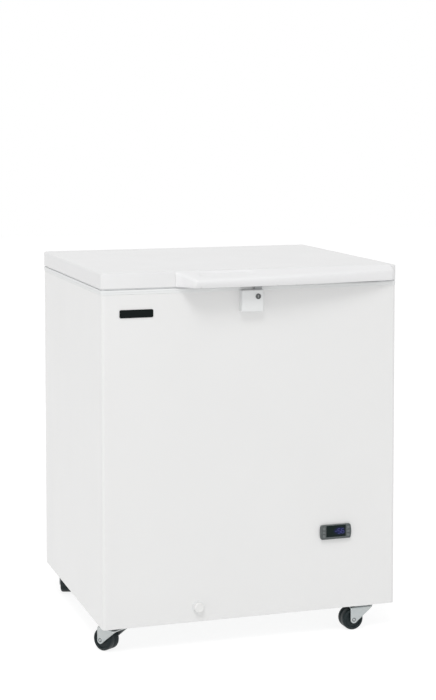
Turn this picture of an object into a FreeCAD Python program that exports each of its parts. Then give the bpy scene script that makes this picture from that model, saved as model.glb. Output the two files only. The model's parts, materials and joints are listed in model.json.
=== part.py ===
import FreeCAD, Part
import math
import os

# A small laboratory chest freezer on four swivel castors.
# Millimetres, +Z up, front towards -Y. The origin is the middle of the overall box, on the floor.

# Overall form
CABINET_WIDTH = 720.0
CABINET_DEPTH = 620.0
OVERALL_HEIGHT = 875.0
HANDLE_REACH = 48.0
HINGE_REACH = 27.0

# Castors
WHEEL_DIAMETER = 52.0
WHEEL_WIDTH = 36.0
WHEEL_TOP_GAP = 2.0
WHEEL_SIDE_GAP = 1.2
WHEEL_SHOULDER = 6.0
WHEEL_HUB = 15.0
WHEEL_DISH = 3.0
WHEEL_DISH_LIP = 1.5
HUB_DRAFT = 1.0
AXLE_DIAMETER = 6.0
RIVET_HEAD = 10.0
RIVET_RISE = 1.8
CASTOR_TRAIL = 24.0
FORK_SHEET = 2.2
FORK_NOSE = 8.5
FORK_TAIL = 24.0
FORK_BEND = 2.1
RACE_DIAMETER = 34.0
RACE_HEIGHT = 2.3
RACE_GAP = 0.3
CASTOR_PLATE = 50.0
CASTOR_PLATE_SHEET = 2.5
CASTOR_PLATE_CORNER = 6.0
CASTOR_BOLT_SPACING = 38.0
CASTOR_BOLT_HOLE = 6.5
KINGPIN_DIAMETER = 8.0
KINGPIN_HEAD = 14.0
KINGPIN_HEAD_RISE = 3.0
CASTOR_SIDE_INSET = {"fl": 35.5, "fr": 78.0, "rl": 48.0, "rr": 78.0}
CASTOR_END_INSET = {"fl": 35.0, "fr": 30.0, "rl": 62.0, "rr": 62.0}
CASTOR_HEADING = {"fl": -58.0, "fr": 2.0, "rl": 72.4, "rr": 28.0}

# Fits
RUNNING_FIT = 0.05
SEAT_GAP = 0.2
MOVING_GAP = 0.35

# Cabinet shell and insulation
WRAP_INSET = 1.2
SHEET = 1.0
CORNER_RADIUS = 8.0
LEAST_CORNER = 2.0
BACK_RETURN = 16.0
TRAY_SHEET = 1.5
TRAY_FLANGE = 20.0
SIDE_FOAM = 86.0
FLOOR_FOAM = 82.0
STEP_FOAM = 60.0
LINER_SHEET = 1.5
LINER_CORNER = 22.0
COMPARTMENT_WIDTH = 215.0
COMPARTMENT_HEIGHT = 272.0
EVAPORATOR_TURNS = 5
EVAPORATOR_HEIGHT = 10.0
EVAPORATOR_THICK = 5.0
EVAPORATOR_ABOVE_STEP = 45.0
EVAPORATOR_BELOW_RIM = 53.0

# Lid
LID_SIDE = 36.0
LID_GAP = 3.0
LID_EDGE_RADIUS = 4.5
PAN_WALL = 2.5
PANEL_THICK = 8.0
PLUG_DEPTH = 24.0
PLUG_DRAFT = 10.0
PLUG_WALL = 2.5
PLUG_GAP = 8.0
GASKET_WIDTH = 16.0
GASKET_INSET = 10.0
GASKET_GROOVE = 5.0

# Rim
RIM_PLATE = 3.0
RIM_BAND = 10.5
RIM_STEP = 0.5

# Lid handle
HANDLE_LEFT_MARGIN = 174.0
HANDLE_RIGHT_MARGIN = 14.0
HANDLE_REBATE = 5.0
HANDLE_WALL = 3.0
HANDLE_TOP_WALL = 5.0
HANDLE_FLANK = 40.0
HANDLE_PLATEAU = 90.0
HANDLE_END_REACH = 9.0
HANDLE_SEAM_REACH = 1.5
HANDLE_DROP = 19.0
HANDLE_END_DROP = 12.0
HANDLE_SEAM_DROP = 5.0
HANDLE_RIDGE_RADIUS = 4.0
HANDLE_RIDGE_SHARE = 0.45
HANDLE_SLOPE_SAG = 0.42
HANDLE_FLANK_STATIONS = 8
HANDLE_TUCK = 1.5
HANDLE_STATIONS = 26
HANDLE_HOLLOW_MARGIN = 26.0
HANDLE_RIB = 2.0
HANDLE_RIB_PITCH = 46.0
DISH_LENGTH = 138.0
DISH_WIDTH = 34.0
DISH_DEPTH = 2.4
DISH_FROM_FLANK = 8.5
DISH_REACH_SHARE = 0.42
DISH_DROP_SHARE = 0.36

# Hinges
HINGE_FROM_SIDE = 150.0
HINGE_WIDTH = 60.0
HINGE_DROP = 120.0
HINGE_SHEET = 3.0
HINGE_KNUCKLE = 9.0
HINGE_BARREL = 15.0
PIN_DIAMETER = 8.0
PIN_BELOW_LID = 8.0
PIN_HEAD = 12.0

# Lock
LOCK_FROM_LEFT = 367.5
LOCK_LEFT_SPAN = 41.0
LOCK_RIGHT_SPAN = 15.0
LOCK_HEIGHT = 46.0
LOCK_BELOW_RIM = 12.0
LOCK_PROUD = 17.0
LOCK_WALL = 2.0
LOCK_CORNER = 3.0
BARREL_BELOW_TOP = 11.0
BARREL_DIAMETER = 11.0
BARREL_FLANGE = 13.0
BARREL_FLANGE_RISE = 1.5
BARREL_BOSS = 8.0
KEYWAY_LENGTH = 6.0
KEYWAY_WIDTH = 1.4
CAM_THICK = 3.0
CAM_LENGTH = 8.0
CAM_WIDTH = 5.2
CAM_SETBACK = 1.2
CAM_SHOULDER = 1.0
HASP_THICK = 2.5
HASP_STEM = 3.8
HASP_TOE = 5.0
HASP_LEAF = 10.0
HASP_GAP = 0.8
HASP_NECK_GAP = 2.8
HASP_PLAY = 1.3
HASP_LEFT = 6.0

# Nameplate, left blank
PLATE_FROM_LEFT = 82.3
PLATE_BELOW_RIM = 54.5
PLATE_LENGTH = 79.0
PLATE_HEIGHT = 18.5
PLATE_THICK = 1.6
PLATE_CORNER = 3.5

# Temperature controller
CONTROL_FROM_RIGHT = 153.7
CONTROL_ABOVE_BASE = 185.0
BEZEL_LENGTH = 78.0
BEZEL_HEIGHT = 34.0
BEZEL_RISE = 7.0
BEZEL_CORNER = 4.0
BEZEL_BULGE = 2.5
BEZEL_EDGE = 1.2
TERMINALS = 9
TERMINAL_SLOT_DEPTH = 4.0
TERMINAL_SLOT_HEIGHT = 7.0
TERMINAL_SLOT_DROP = 9.0
CONTROL_BODY_LENGTH = 70.0
CONTROL_BODY_HEIGHT = 28.0
CONTROL_BODY_DEPTH = 58.0
WINDOW_LENGTH = 49.0
WINDOW_HEIGHT = 27.0
WINDOW_ABOVE_MIDDLE = 2.0
WINDOW_DEPTH = 2.0
KEY_LENGTH = 7.0
KEY_HEIGHT = 6.6
KEY_PITCH = 8.8
KEY_OFFSET = 30.6
KEY_RISE = 0.8
KEY_THICK = 2.4
KEY_TRAVEL = 0.6
KEY_CORNER = 1.5

# Drain
DRAIN_FROM_LEFT = 228.0
DRAIN_ABOVE_BASE = 34.0
DRAIN_BORE = 14.0
DRAIN_TUBE_WALL = 1.5
DRAIN_TUBE_BEND = 26.0
DRAIN_INTO_WELL = 42.0
BUSHING_FLANGE = 30.0
BUSHING_RISE = 2.0
BUSHING_LENGTH = 14.0
PLUG_CAP = 24.0
PLUG_CAP_RISE = 8.0
PLUG_STEM = 12.0
PLUG_CAP_EDGE = 2.0
PLUG_NOTCHES = 12
PLUG_NOTCH_RADIUS = 1.0
BUSHING_CHAMFER = 0.8

# Side grille and rear cover
GRILLE_LENGTH = 230.0
GRILLE_HEIGHT = 170.0
GRILLE_FROM_BACK = 190.0
GRILLE_ABOVE_BASE = 60.0
GRILLE_FRAME = 10.0
GRILLE_DEPTH = 9.0
GRILLE_SLATS = 10
SLAT_THICK = 1.6
SLAT_LEAN = 6.0
SLAT_FIRST = 0.3
COVER_LAP = 9.0
COVER_MARGIN = 14.0
LOUVRES = 9
LOUVRE_PITCH = 12.0
LOUVRE_LENGTH = 120.0
LOUVRE_HEIGHT = 6.0
LOUVRE_RISE = 5.0
SCREW_HEAD = 8.0
SCREW_RISE = 2.0

# Power inlet
INLET_LENGTH = 48.0
INLET_HEIGHT = 23.0
INLET_RIM = 2.5
INLET_BODY_LENGTH = 29.0
INLET_BODY_HEIGHT = 21.0
INLET_DEPTH = 24.0
INLET_WALL = 2.0
INLET_PIN_LENGTH = 15.0
INLET_PIN_WIDTH = 4.0
INLET_PIN_THICK = 2.0
INLET_PIN_PITCH = 7.0
INLET_PIN_STAGGER = 2.0
INLET_CORNER = 4.0
INLET_ABOVE_COVER = 24.0

# Refrigeration machinery
COMPRESSOR_DIAMETER = 150.0
COMPRESSOR_HEIGHT = 172.0
COMPRESSOR_FROM_FRONT = 245.0
COMPRESSOR_FLANGE = 4.0
COMPRESSOR_DOME = 37.5
PIPE_LEVEL = 52.0
FOOT_HEIGHT = 14.0
FOOT_DIAMETER = 26.0
FOOT_SPREAD = 130.0
MOUNT_BAR = 24.0
MOUNT_SHEET = 3.0
TERMINAL_LENGTH = 34.0
TERMINAL_WIDTH = 50.0
TERMINAL_HEIGHT = 60.0
TERMINAL_LEVEL = 28.0
TERMINAL_CORNER = 3.0
CONDENSER_WIDTH = 166.0
CONDENSER_HEIGHT = 180.0
CONDENSER_DEPTH = 44.0
CONDENSER_FROM_BACK = 30.0
CONDENSER_FINS = 24
CONDENSER_FIN_DEPTH = 10.0
CONDENSER_FIN_THICK = 1.2
CONDENSER_LEGS = 16.0
FAN_DIAMETER = 150.0
FAN_TIP_GAP = 3.0
FAN_BLADES = 5
FAN_BLADE_THICK = 1.6
FAN_ROOT_CHORD = 20.0
FAN_MIDDLE_CHORD = 31.0
FAN_TIP_CHORD = 37.0
FAN_ROOT_ANGLE = 52.0
FAN_MIDDLE_ANGLE = 38.0
FAN_TIP_ANGLE = 28.0
FAN_HUB = 40.0
FAN_HUB_LENGTH = 18.0
SHROUD_RING = 26.0
SHROUD_SHEET = 1.5
BRACKET_ARM = 6.0
BRACKET_SHEET = 3.0
BRACKET_COLLAR = 8.0
MOTOR_DIAMETER = 56.0
MOTOR_LENGTH = 44.0
MOTOR_CHAMFER = 3.0
SHAFT_DIAMETER = 6.0
PIPE_DIAMETER = 8.0
PIPE_BEND = 9.0
PIPE_SIDE_GAP = 16.0

# How far the middle of a quarter arc stands from its tangents, for a radius of one
ARC_LEAN = 1 - math.sqrt(0.5)

# Places worked out from the sizes above
LEFT = -CABINET_WIDTH / 2
RIGHT = CABINET_WIDTH / 2
FRONT = -(CABINET_DEPTH + HINGE_REACH - HANDLE_REACH) / 2
BACK = FRONT + CABINET_DEPTH
TOP = OVERALL_HEIGHT
CROWN_BOTTOM = WHEEL_DIAMETER + WHEEL_TOP_GAP
CROWN_TOP = CROWN_BOTTOM + FORK_SHEET
BOTTOM = CROWN_TOP + RACE_HEIGHT + CASTOR_PLATE_SHEET
LID_BOTTOM = TOP - LID_SIDE
RIM_TOP = LID_BOTTOM - LID_GAP
LINER_TOP = RIM_TOP - RIM_PLATE

WRAP_LEFT = LEFT + WRAP_INSET
WRAP_RIGHT = RIGHT - WRAP_INSET
WRAP_FRONT = FRONT + WRAP_INSET
WRAP_BACK = BACK - WRAP_INSET
SHELL_LEFT = WRAP_LEFT + SHEET
SHELL_RIGHT = WRAP_RIGHT - SHEET
SHELL_FRONT = WRAP_FRONT + SHEET
PANEL_BACK = WRAP_BACK - SHEET
SHELL_BACK = PANEL_BACK - SHEET
TRAY_TOP = BOTTOM + TRAY_SHEET

WELL_LEFT = SHELL_LEFT + SIDE_FOAM + LINER_SHEET
WELL_RIGHT = SHELL_RIGHT - SIDE_FOAM - LINER_SHEET
WELL_FRONT = SHELL_FRONT + SIDE_FOAM + LINER_SHEET
WELL_BACK = SHELL_BACK - SIDE_FOAM - LINER_SHEET
WELL_FLOOR = TRAY_TOP + FLOOR_FOAM + LINER_SHEET
COMPARTMENT_LEFT = SHELL_RIGHT - COMPARTMENT_WIDTH
COMPARTMENT_TOP = TRAY_TOP + COMPARTMENT_HEIGHT
STEP_LEFT = COMPARTMENT_LEFT - SHEET - STEP_FOAM - LINER_SHEET
STEP_FLOOR = COMPARTMENT_TOP + SHEET + STEP_FOAM + LINER_SHEET
COMPARTMENT_MIDDLE = (COMPARTMENT_LEFT + SHELL_RIGHT) / 2
RISER_X = (COMPARTMENT_LEFT + COMPARTMENT_MIDDLE) / 2
EVAPORATOR_FIRST = STEP_FLOOR + EVAPORATOR_ABOVE_STEP
EVAPORATOR_LAST = LINER_TOP - EVAPORATOR_BELOW_RIM - EVAPORATOR_HEIGHT

PIN_Y = BACK + HINGE_REACH - HINGE_KNUCKLE - HINGE_SHEET
PIN_Z = LID_BOTTOM - PIN_BELOW_LID
HANDLE_LEFT = LEFT + HANDLE_LEFT_MARGIN
HANDLE_RIGHT = RIGHT - HANDLE_RIGHT_MARGIN
HANDLE_SPAN = HANDLE_RIGHT - HANDLE_LEFT
LOCK_X = LEFT + LOCK_FROM_LEFT
LOCK_TOP = RIM_TOP - LOCK_BELOW_RIM
LOCK_BOTTOM = LOCK_TOP - LOCK_HEIGHT
LOCK_FACE = WRAP_FRONT - LOCK_PROUD
BARREL_Z = LOCK_TOP - BARREL_BELOW_TOP
CAM_FRONT = LOCK_FACE + BARREL_BOSS + CAM_SETBACK
HASP_RIGHT = CAM_LENGTH + HASP_GAP + HASP_STEM
CAM_MIDDLE = CAM_FRONT + CAM_THICK / 2
CONTROL_X = RIGHT - CONTROL_FROM_RIGHT
CONTROL_Z = BOTTOM + CONTROL_ABOVE_BASE
BEZEL_FACE = WRAP_FRONT - BEZEL_RISE
DRAIN_X = LEFT + DRAIN_FROM_LEFT
DRAIN_Z = BOTTOM + DRAIN_ABOVE_BASE
DRAIN_Y = WELL_FRONT + DRAIN_INTO_WELL
BUSHING_BARREL = DRAIN_BORE / 2 + DRAIN_TUBE_WALL + BUSHING_RISE
BUSHING_END = WRAP_FRONT + BUSHING_LENGTH
PLUG_STEM_RADIUS = DRAIN_BORE / 2

CONDENSER_BACK = SHELL_BACK - CONDENSER_FROM_BACK
CONDENSER_FRONT = CONDENSER_BACK - CONDENSER_DEPTH
MACHINE_BOTTOM = TRAY_TOP + CONDENSER_LEGS
FAN_X = COMPARTMENT_MIDDLE
FAN_Z = MACHINE_BOTTOM + CONDENSER_HEIGHT / 2
SHROUD_BACK = CONDENSER_FRONT
SHROUD_FRONT = SHROUD_BACK - SHROUD_SHEET
FAN_MIDDLE = SHROUD_FRONT - SHROUD_RING / 2
MOTOR_BACK = SHROUD_FRONT - SHROUD_RING - MOVING_GAP
COMPRESSOR_Y = FRONT + COMPRESSOR_FROM_FRONT
POT_BOTTOM = TRAY_TOP + FOOT_HEIGHT + MOUNT_SHEET
COVER_LEFT = COMPARTMENT_LEFT + COVER_MARGIN
COVER_RIGHT = SHELL_RIGHT - BACK_RETURN - COVER_MARGIN
COVER_BOTTOM = TRAY_TOP + TRAY_FLANGE + COVER_MARGIN
COVER_TOP = COMPARTMENT_TOP - COVER_MARGIN
COVER_X = (COVER_LEFT + COVER_RIGHT) / 2


def point(x, y, z):
    return FreeCAD.Vector(x, y, z)


def block(x0, x1, y0, y1, z0, z1):
    """A plain block between two corners."""
    return Part.makeBox(x1 - x0, y1 - y0, z1 - z0, point(x0, y0, z0))


def rod(radius, start, end):
    """A cylinder between two points."""
    along = end.sub(start)
    return Part.makeCylinder(radius, along.Length, start, along)


def face_of(edges):
    return Part.Face(Part.Wire(edges))


def polygon(points):
    """A flat face through the points, closed by its last edge."""
    return Part.Face(Part.makePolygon(points + [points[0]]))


def edges_along(shape, axis):
    """The straight edges of a shape that run along an axis."""
    found = []
    for edge in shape.Edges:
        if len(edge.Vertexes) < 2 or not isinstance(edge.Curve, Part.Line):
            continue
        run = edge.Vertexes[1].Point.sub(edge.Vertexes[0].Point)
        if abs(run.normalize().dot(axis)) > 0.999:
            found.append(edge)
    return found


def prism(x0, x1, y0, y1, z0, z1, radius):
    """A block whose four upright edges are rounded."""
    solid = block(x0, x1, y0, y1, z0, z1)
    return solid.makeFillet(radius, edges_along(solid, point(0, 0, 1)))


def plate_on_front(x, z, length, height, y0, y1, radius):
    """A flat plate parallel to the front, with four rounded corners."""
    half_length, half_height = length / 2, height / 2
    solid = block(x - half_length, x + half_length, y0, y1, z - half_height, z + half_height)
    return solid.makeFillet(radius, edges_along(solid, point(0, 1, 0)))


def group(solids):
    """Several separate solids kept in one node."""
    return Part.makeCompound(solids)


def joined(solids):
    return solids[0].multiFuse(solids[1:]).removeSplitter()


def cabinet_prism(inset, z0, z1):
    """The cabinet's outline in plan, drawn in by an inset, between two heights."""
    corner = max(CORNER_RADIUS + WRAP_INSET - inset, LEAST_CORNER)
    return prism(LEFT + inset, RIGHT - inset, FRONT + inset, BACK - inset, z0, z1, corner)


def shell_prism(z0, z1):
    """The space inside the wrap and the back panel, between two heights."""
    return prism(SHELL_LEFT, SHELL_RIGHT, SHELL_FRONT, SHELL_BACK, z0, z1, CORNER_RADIUS)


def well(grow, top):
    """The stepped inside space, grown outwards by a wall."""
    corner = LINER_CORNER + grow
    deep = prism(WELL_LEFT - grow, STEP_LEFT + grow, WELL_FRONT - grow, WELL_BACK + grow,
                 WELL_FLOOR - grow, top, corner)
    wide = prism(WELL_LEFT - grow, WELL_RIGHT + grow, WELL_FRONT - grow, WELL_BACK + grow,
                 STEP_FLOOR - grow, top, corner)
    return deep.fuse(wide).removeSplitter()


# Cabinet shell

def grille_box(grow, x0, x1):
    """The opening for the side grille, in the right side."""
    back = BACK - GRILLE_FROM_BACK
    bottom = BOTTOM + GRILLE_ABOVE_BASE
    return block(x0, x1, back - GRILLE_LENGTH - grow, back + grow,
                 bottom - grow, bottom + GRILLE_HEIGHT + grow)


def control_opening(y0, y1):
    return block(CONTROL_X - CONTROL_BODY_LENGTH / 2 - SEAT_GAP,
                 CONTROL_X + CONTROL_BODY_LENGTH / 2 + SEAT_GAP, y0, y1,
                 CONTROL_Z - CONTROL_BODY_HEIGHT / 2 - SEAT_GAP,
                 CONTROL_Z + CONTROL_BODY_HEIGHT / 2 + SEAT_GAP)


def drain_cylinder(radius, y0, y1):
    return rod(radius, point(DRAIN_X, y0, DRAIN_Z), point(DRAIN_X, y1, DRAIN_Z))


def outer_wrap():
    """Front and both sides bent from one sheet, with narrow returns at the back."""
    ring = cabinet_prism(WRAP_INSET, BOTTOM, LINER_TOP)
    ring = ring.cut(cabinet_prism(WRAP_INSET + SHEET, BOTTOM, LINER_TOP))
    open_back = block(WRAP_LEFT + BACK_RETURN, WRAP_RIGHT - BACK_RETURN, PANEL_BACK - SHEET,
                      BACK, BOTTOM, LINER_TOP)
    wrap = ring.cut(open_back)
    wrap = wrap.cut(grille_box(SEAT_GAP, SHELL_RIGHT - SHEET, RIGHT))
    wrap = wrap.cut(control_opening(FRONT, SHELL_FRONT))
    return wrap.cut(drain_cylinder(PLUG_CAP / 2 - SEAT_GAP, FRONT, SHELL_FRONT))


def rear_opening(grow, y0, y1):
    return block(COVER_LEFT - grow, COVER_RIGHT + grow, y0, y1,
                 COVER_BOTTOM - grow, COVER_TOP + grow)


def back_panel():
    """Flat sheet behind the foam, lapped inside the wrap's returns, open at the machinery."""
    gap = CORNER_RADIUS - SHEET
    panel = block(SHELL_LEFT + gap, SHELL_RIGHT - gap, SHELL_BACK, PANEL_BACK, BOTTOM, LINER_TOP)
    return panel.cut(rear_opening(0, SHELL_BACK, PANEL_BACK))


def base_tray():
    """Shallow pan under the whole cabinet, its flanges inside the wrap."""
    inner = prism(SHELL_LEFT + TRAY_SHEET, SHELL_RIGHT - TRAY_SHEET, SHELL_FRONT + TRAY_SHEET,
                  SHELL_BACK - TRAY_SHEET, TRAY_TOP, TRAY_TOP + TRAY_FLANGE,
                  CORNER_RADIUS - TRAY_SHEET)
    return shell_prism(BOTTOM, TRAY_TOP + TRAY_FLANGE).cut(inner)


def top_rim():
    """Flat rim between wrap and liner, with a stepped band outside the wrap."""
    plate = cabinet_prism(0, LINER_TOP, RIM_TOP).cut(well(0, RIM_TOP))
    band_middle = RIM_TOP - RIM_BAND / 2
    upper = cabinet_prism(0, band_middle, LINER_TOP)
    lower = cabinet_prism(RIM_STEP, RIM_TOP - RIM_BAND, band_middle)
    band = upper.fuse(lower).cut(cabinet_prism(WRAP_INSET, RIM_TOP - RIM_BAND, LINER_TOP))
    return plate.fuse(band).removeSplitter()


def inner_liner():
    """Stepped tub with rounded upright corners and a drain hole in its floor."""
    tub = well(LINER_SHEET, LINER_TOP).cut(well(0, LINER_TOP))
    hole = rod(DRAIN_BORE / 2, point(DRAIN_X, DRAIN_Y, WELL_FLOOR - LINER_SHEET),
               point(DRAIN_X, DRAIN_Y, WELL_FLOOR))
    return tub.cut(hole)


def evaporator_ring(z, gap):
    """One turn of flattened tube round the liner, with a gap all round for its groove."""
    near = LINER_SHEET + SEAT_GAP - gap
    far = LINER_SHEET + SEAT_GAP + EVAPORATOR_THICK + gap
    corner = LINER_CORNER
    outer = prism(WELL_LEFT - far, WELL_RIGHT + far, WELL_FRONT - far, WELL_BACK + far,
                  z - gap, z + EVAPORATOR_HEIGHT + gap, corner + far)
    inner = prism(WELL_LEFT - near, WELL_RIGHT + near, WELL_FRONT - near, WELL_BACK + near,
                  z - gap, z + EVAPORATOR_HEIGHT + gap, corner + near)
    return outer.cut(inner)


def evaporator_riser(gap):
    """The upright stretch that joins the turns and drops to the machinery."""
    near = WELL_BACK + LINER_SHEET + SEAT_GAP
    half = EVAPORATOR_HEIGHT / 2 + gap
    return block(RISER_X - half, RISER_X + half, near - gap,
                 near + EVAPORATOR_THICK + gap, COMPARTMENT_TOP + SHEET,
                 EVAPORATOR_LAST + EVAPORATOR_HEIGHT + gap)


def evaporator(gap):
    """Turns spread evenly up the liner, from above the step to below the rim."""
    pitch = (EVAPORATOR_LAST - EVAPORATOR_FIRST) / (EVAPORATOR_TURNS - 1)
    rings = [evaporator_ring(EVAPORATOR_FIRST + turn * pitch, gap)
             for turn in range(EVAPORATOR_TURNS)]
    return joined(rings + [evaporator_riser(gap)])


def compartment_bulkhead():
    """Bent sheet over and beside the machinery, against the foam."""
    outer = block(COMPARTMENT_LEFT - SHEET, RIGHT, FRONT, BACK, TRAY_TOP, COMPARTMENT_TOP + SHEET)
    inner = block(COMPARTMENT_LEFT, RIGHT, FRONT, BACK, TRAY_TOP, COMPARTMENT_TOP)
    return shell_prism(TRAY_TOP, COMPARTMENT_TOP + SHEET).common(outer).cut(inner).cut(base_tray())


def insulation_foam():
    """Foam that fills the space between the shell and the liner."""
    body = shell_prism(TRAY_TOP, LINER_TOP).cut(well(LINER_SHEET, LINER_TOP))
    machinery = block(COMPARTMENT_LEFT - SHEET, RIGHT, FRONT, BACK, BOTTOM, COMPARTMENT_TOP + SHEET)
    body = body.cut(machinery)
    body = body.cut(base_tray())
    body = body.cut(evaporator(SEAT_GAP))
    outside = DRAIN_BORE / 2 + DRAIN_TUBE_WALL + SEAT_GAP
    body = body.cut(drain_path(outside))
    return body.cut(drain_cylinder(BUSHING_BARREL + SEAT_GAP, FRONT, BUSHING_END + SEAT_GAP))


# Drain

def drain_path(radius):
    """The drain's course: from behind the bushing along the floor foam, then up to the well."""
    bend = DRAIN_TUBE_BEND
    level_end = point(DRAIN_X, DRAIN_Y - bend, DRAIN_Z)
    rise_start = point(DRAIN_X, DRAIN_Y, DRAIN_Z + bend)
    level = rod(radius, point(DRAIN_X, BUSHING_END, DRAIN_Z), level_end)
    rise = rod(radius, rise_start, point(DRAIN_X, DRAIN_Y, WELL_FLOOR - LINER_SHEET))
    disc = Part.Face(Part.Wire(Part.makeCircle(radius, level_end, point(0, 1, 0))))
    elbow = disc.revolve(point(DRAIN_X, DRAIN_Y - bend, DRAIN_Z + bend), point(1, 0, 0), 90)
    return joined([level, elbow, rise])


def drain_tube():
    """Bent tube from the liner's floor to the bushing."""
    return drain_path(DRAIN_BORE / 2 + DRAIN_TUBE_WALL).cut(drain_path(DRAIN_BORE / 2))


def drain_bushing():
    """Round flanged bushing in the front sheet."""
    flange = drain_cylinder(BUSHING_FLANGE / 2, WRAP_FRONT - BUSHING_RISE, WRAP_FRONT)
    rims = [e for e in flange.Edges if not isinstance(e.Curve, Part.Line)]
    flange = flange.makeChamfer(BUSHING_CHAMFER, rims)
    barrel = drain_cylinder(BUSHING_BARREL, WRAP_FRONT - BUSHING_RISE, BUSHING_END)
    return flange.fuse(barrel).cut(drain_cylinder(PLUG_STEM_RADIUS + MOVING_GAP, FRONT - PLUG_CAP,
                                                  BUSHING_END))


def drain_plug():
    """Push-in cap with a ribbed grip edge and a hollow stem."""
    face = WRAP_FRONT - BUSHING_RISE - SEAT_GAP
    outer = face - PLUG_CAP_RISE
    cap = drain_cylinder(PLUG_CAP / 2, outer, face)
    front_edge = [e for e in cap.Edges if abs(e.CenterOfMass.y - outer) < 0.01]
    cap = cap.makeFillet(PLUG_CAP_EDGE, front_edge)
    stem = drain_cylinder(PLUG_STEM_RADIUS, face, face + PLUG_STEM)
    plug = cap.fuse(stem)
    for turn in range(PLUG_NOTCHES):
        angle = 2 * math.pi * turn / PLUG_NOTCHES
        x = DRAIN_X + PLUG_CAP / 2 * math.cos(angle)
        z = DRAIN_Z + PLUG_CAP / 2 * math.sin(angle)
        plug = plug.cut(rod(PLUG_NOTCH_RADIUS, point(x, outer, z), point(x, face, z)))
    return plug


# Lid

def rebated(grow, z0, z1):
    """The space that the handle's back takes out of the lid's front edge."""
    return block(HANDLE_LEFT - grow, HANDLE_RIGHT + grow, FRONT - HANDLE_REACH,
                 FRONT + HANDLE_REBATE + grow, z0, z1)


def lid_block(inset):
    """The lid's outside drawn in by an inset, with a rounded upper edge."""
    radius = CORNER_RADIUS + WRAP_INSET - inset
    top = TOP - inset
    solid = prism(LEFT + inset, RIGHT - inset, FRONT + inset, BACK - inset, LID_BOTTOM, top, radius)
    upper = [e for e in solid.Edges if abs(e.CenterOfMass.z - top) < 0.01]
    edge_radius = max(LID_EDGE_RADIUS - inset, LID_EDGE_RADIUS / 4)
    solid = solid.makeFillet(edge_radius, upper)
    return solid.cut(rebated(inset, LID_BOTTOM, TOP))


def lid_pan():
    """Outer lid shell, open below, rebated at the front for the handle."""
    return lid_block(0).cut(lid_block(PAN_WALL))


def plug_form(grow):
    """The bulge under the lid that reaches into the well, narrower towards its bottom."""
    wires = []
    for z, inset in ((LID_BOTTOM + PANEL_THICK, 0.0), (LID_BOTTOM - PLUG_DEPTH, PLUG_DRAFT)):
        shift = PLUG_GAP + inset + grow
        level = z + grow if inset else z
        corner = LINER_CORNER
        flat = prism(WELL_LEFT + shift, WELL_RIGHT - shift, WELL_FRONT + shift,
                     WELL_BACK - shift, level, level + 1, corner)
        lowest = [f for f in flat.Faces if abs(f.CenterOfMass.z - level) < 0.01][0]
        wires.append(lowest.OuterWire)
    return Part.makeLoft(wires, True, True)


def gasket_ring(grow, z0, z1):
    outer = cabinet_prism(GASKET_INSET - grow, z0, z1)
    inner = cabinet_prism(GASKET_INSET + GASKET_WIDTH + grow, z0, z1)
    return outer.cut(inner)


def lid_inner_panel():
    """Moulded inner lid: a flat border with the gasket's groove, and a drafted bulge."""
    border = lid_block(PAN_WALL + SEAT_GAP)
    border = border.common(block(LEFT, RIGHT, FRONT, BACK, LID_BOTTOM, LID_BOTTOM + PANEL_THICK))
    panel = border.fuse(plug_form(0))
    panel = panel.cut(plug_form(PLUG_WALL))
    return panel.cut(gasket_ring(SEAT_GAP, LID_BOTTOM, LID_BOTTOM + GASKET_GROOVE))


def lid_foam():
    """Foam inside the lid and its bulge."""
    body = lid_block(PAN_WALL + SEAT_GAP)
    body = body.common(block(LEFT, RIGHT, FRONT, BACK, LID_BOTTOM + PANEL_THICK, TOP))
    return body.fuse(plug_form(PLUG_WALL)).removeSplitter()


def lid_gasket():
    """Magnetic gasket: a frame in the panel's groove, just above the rim."""
    return gasket_ring(0, RIM_TOP + MOVING_GAP, LID_BOTTOM + GASKET_GROOVE)


# Lid handle

def smooth(t):
    """Smooth rise from 0 to 1 as t goes from 0 to 1."""
    t = min(max(t, 0.0), 1.0)
    return t * t * (3 - 2 * t)


def handle_reach(x):
    """How far the handle stands out at a place along it: flank, plateau, long taper."""
    from_left = x - HANDLE_LEFT
    if from_left < HANDLE_FLANK:
        return HANDLE_SEAM_REACH + (HANDLE_REACH - HANDLE_SEAM_REACH) * smooth(from_left / HANDLE_FLANK)
    taper_start = HANDLE_FLANK + HANDLE_PLATEAU
    share = max(from_left - taper_start, 0.0) / (HANDLE_SPAN - taper_start)
    return HANDLE_REACH - (HANDLE_REACH - HANDLE_END_REACH) * share * share


def handle_drop(x):
    """How far the ridge lies below the lid's top."""
    from_left = x - HANDLE_LEFT
    if from_left < HANDLE_FLANK:
        return HANDLE_SEAM_DROP + (HANDLE_DROP - HANDLE_SEAM_DROP) * smooth(from_left / HANDLE_FLANK)
    share = (from_left - HANDLE_FLANK) / (HANDLE_SPAN - HANDLE_FLANK)
    return HANDLE_DROP - (HANDLE_DROP - HANDLE_END_DROP) * share


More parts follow.
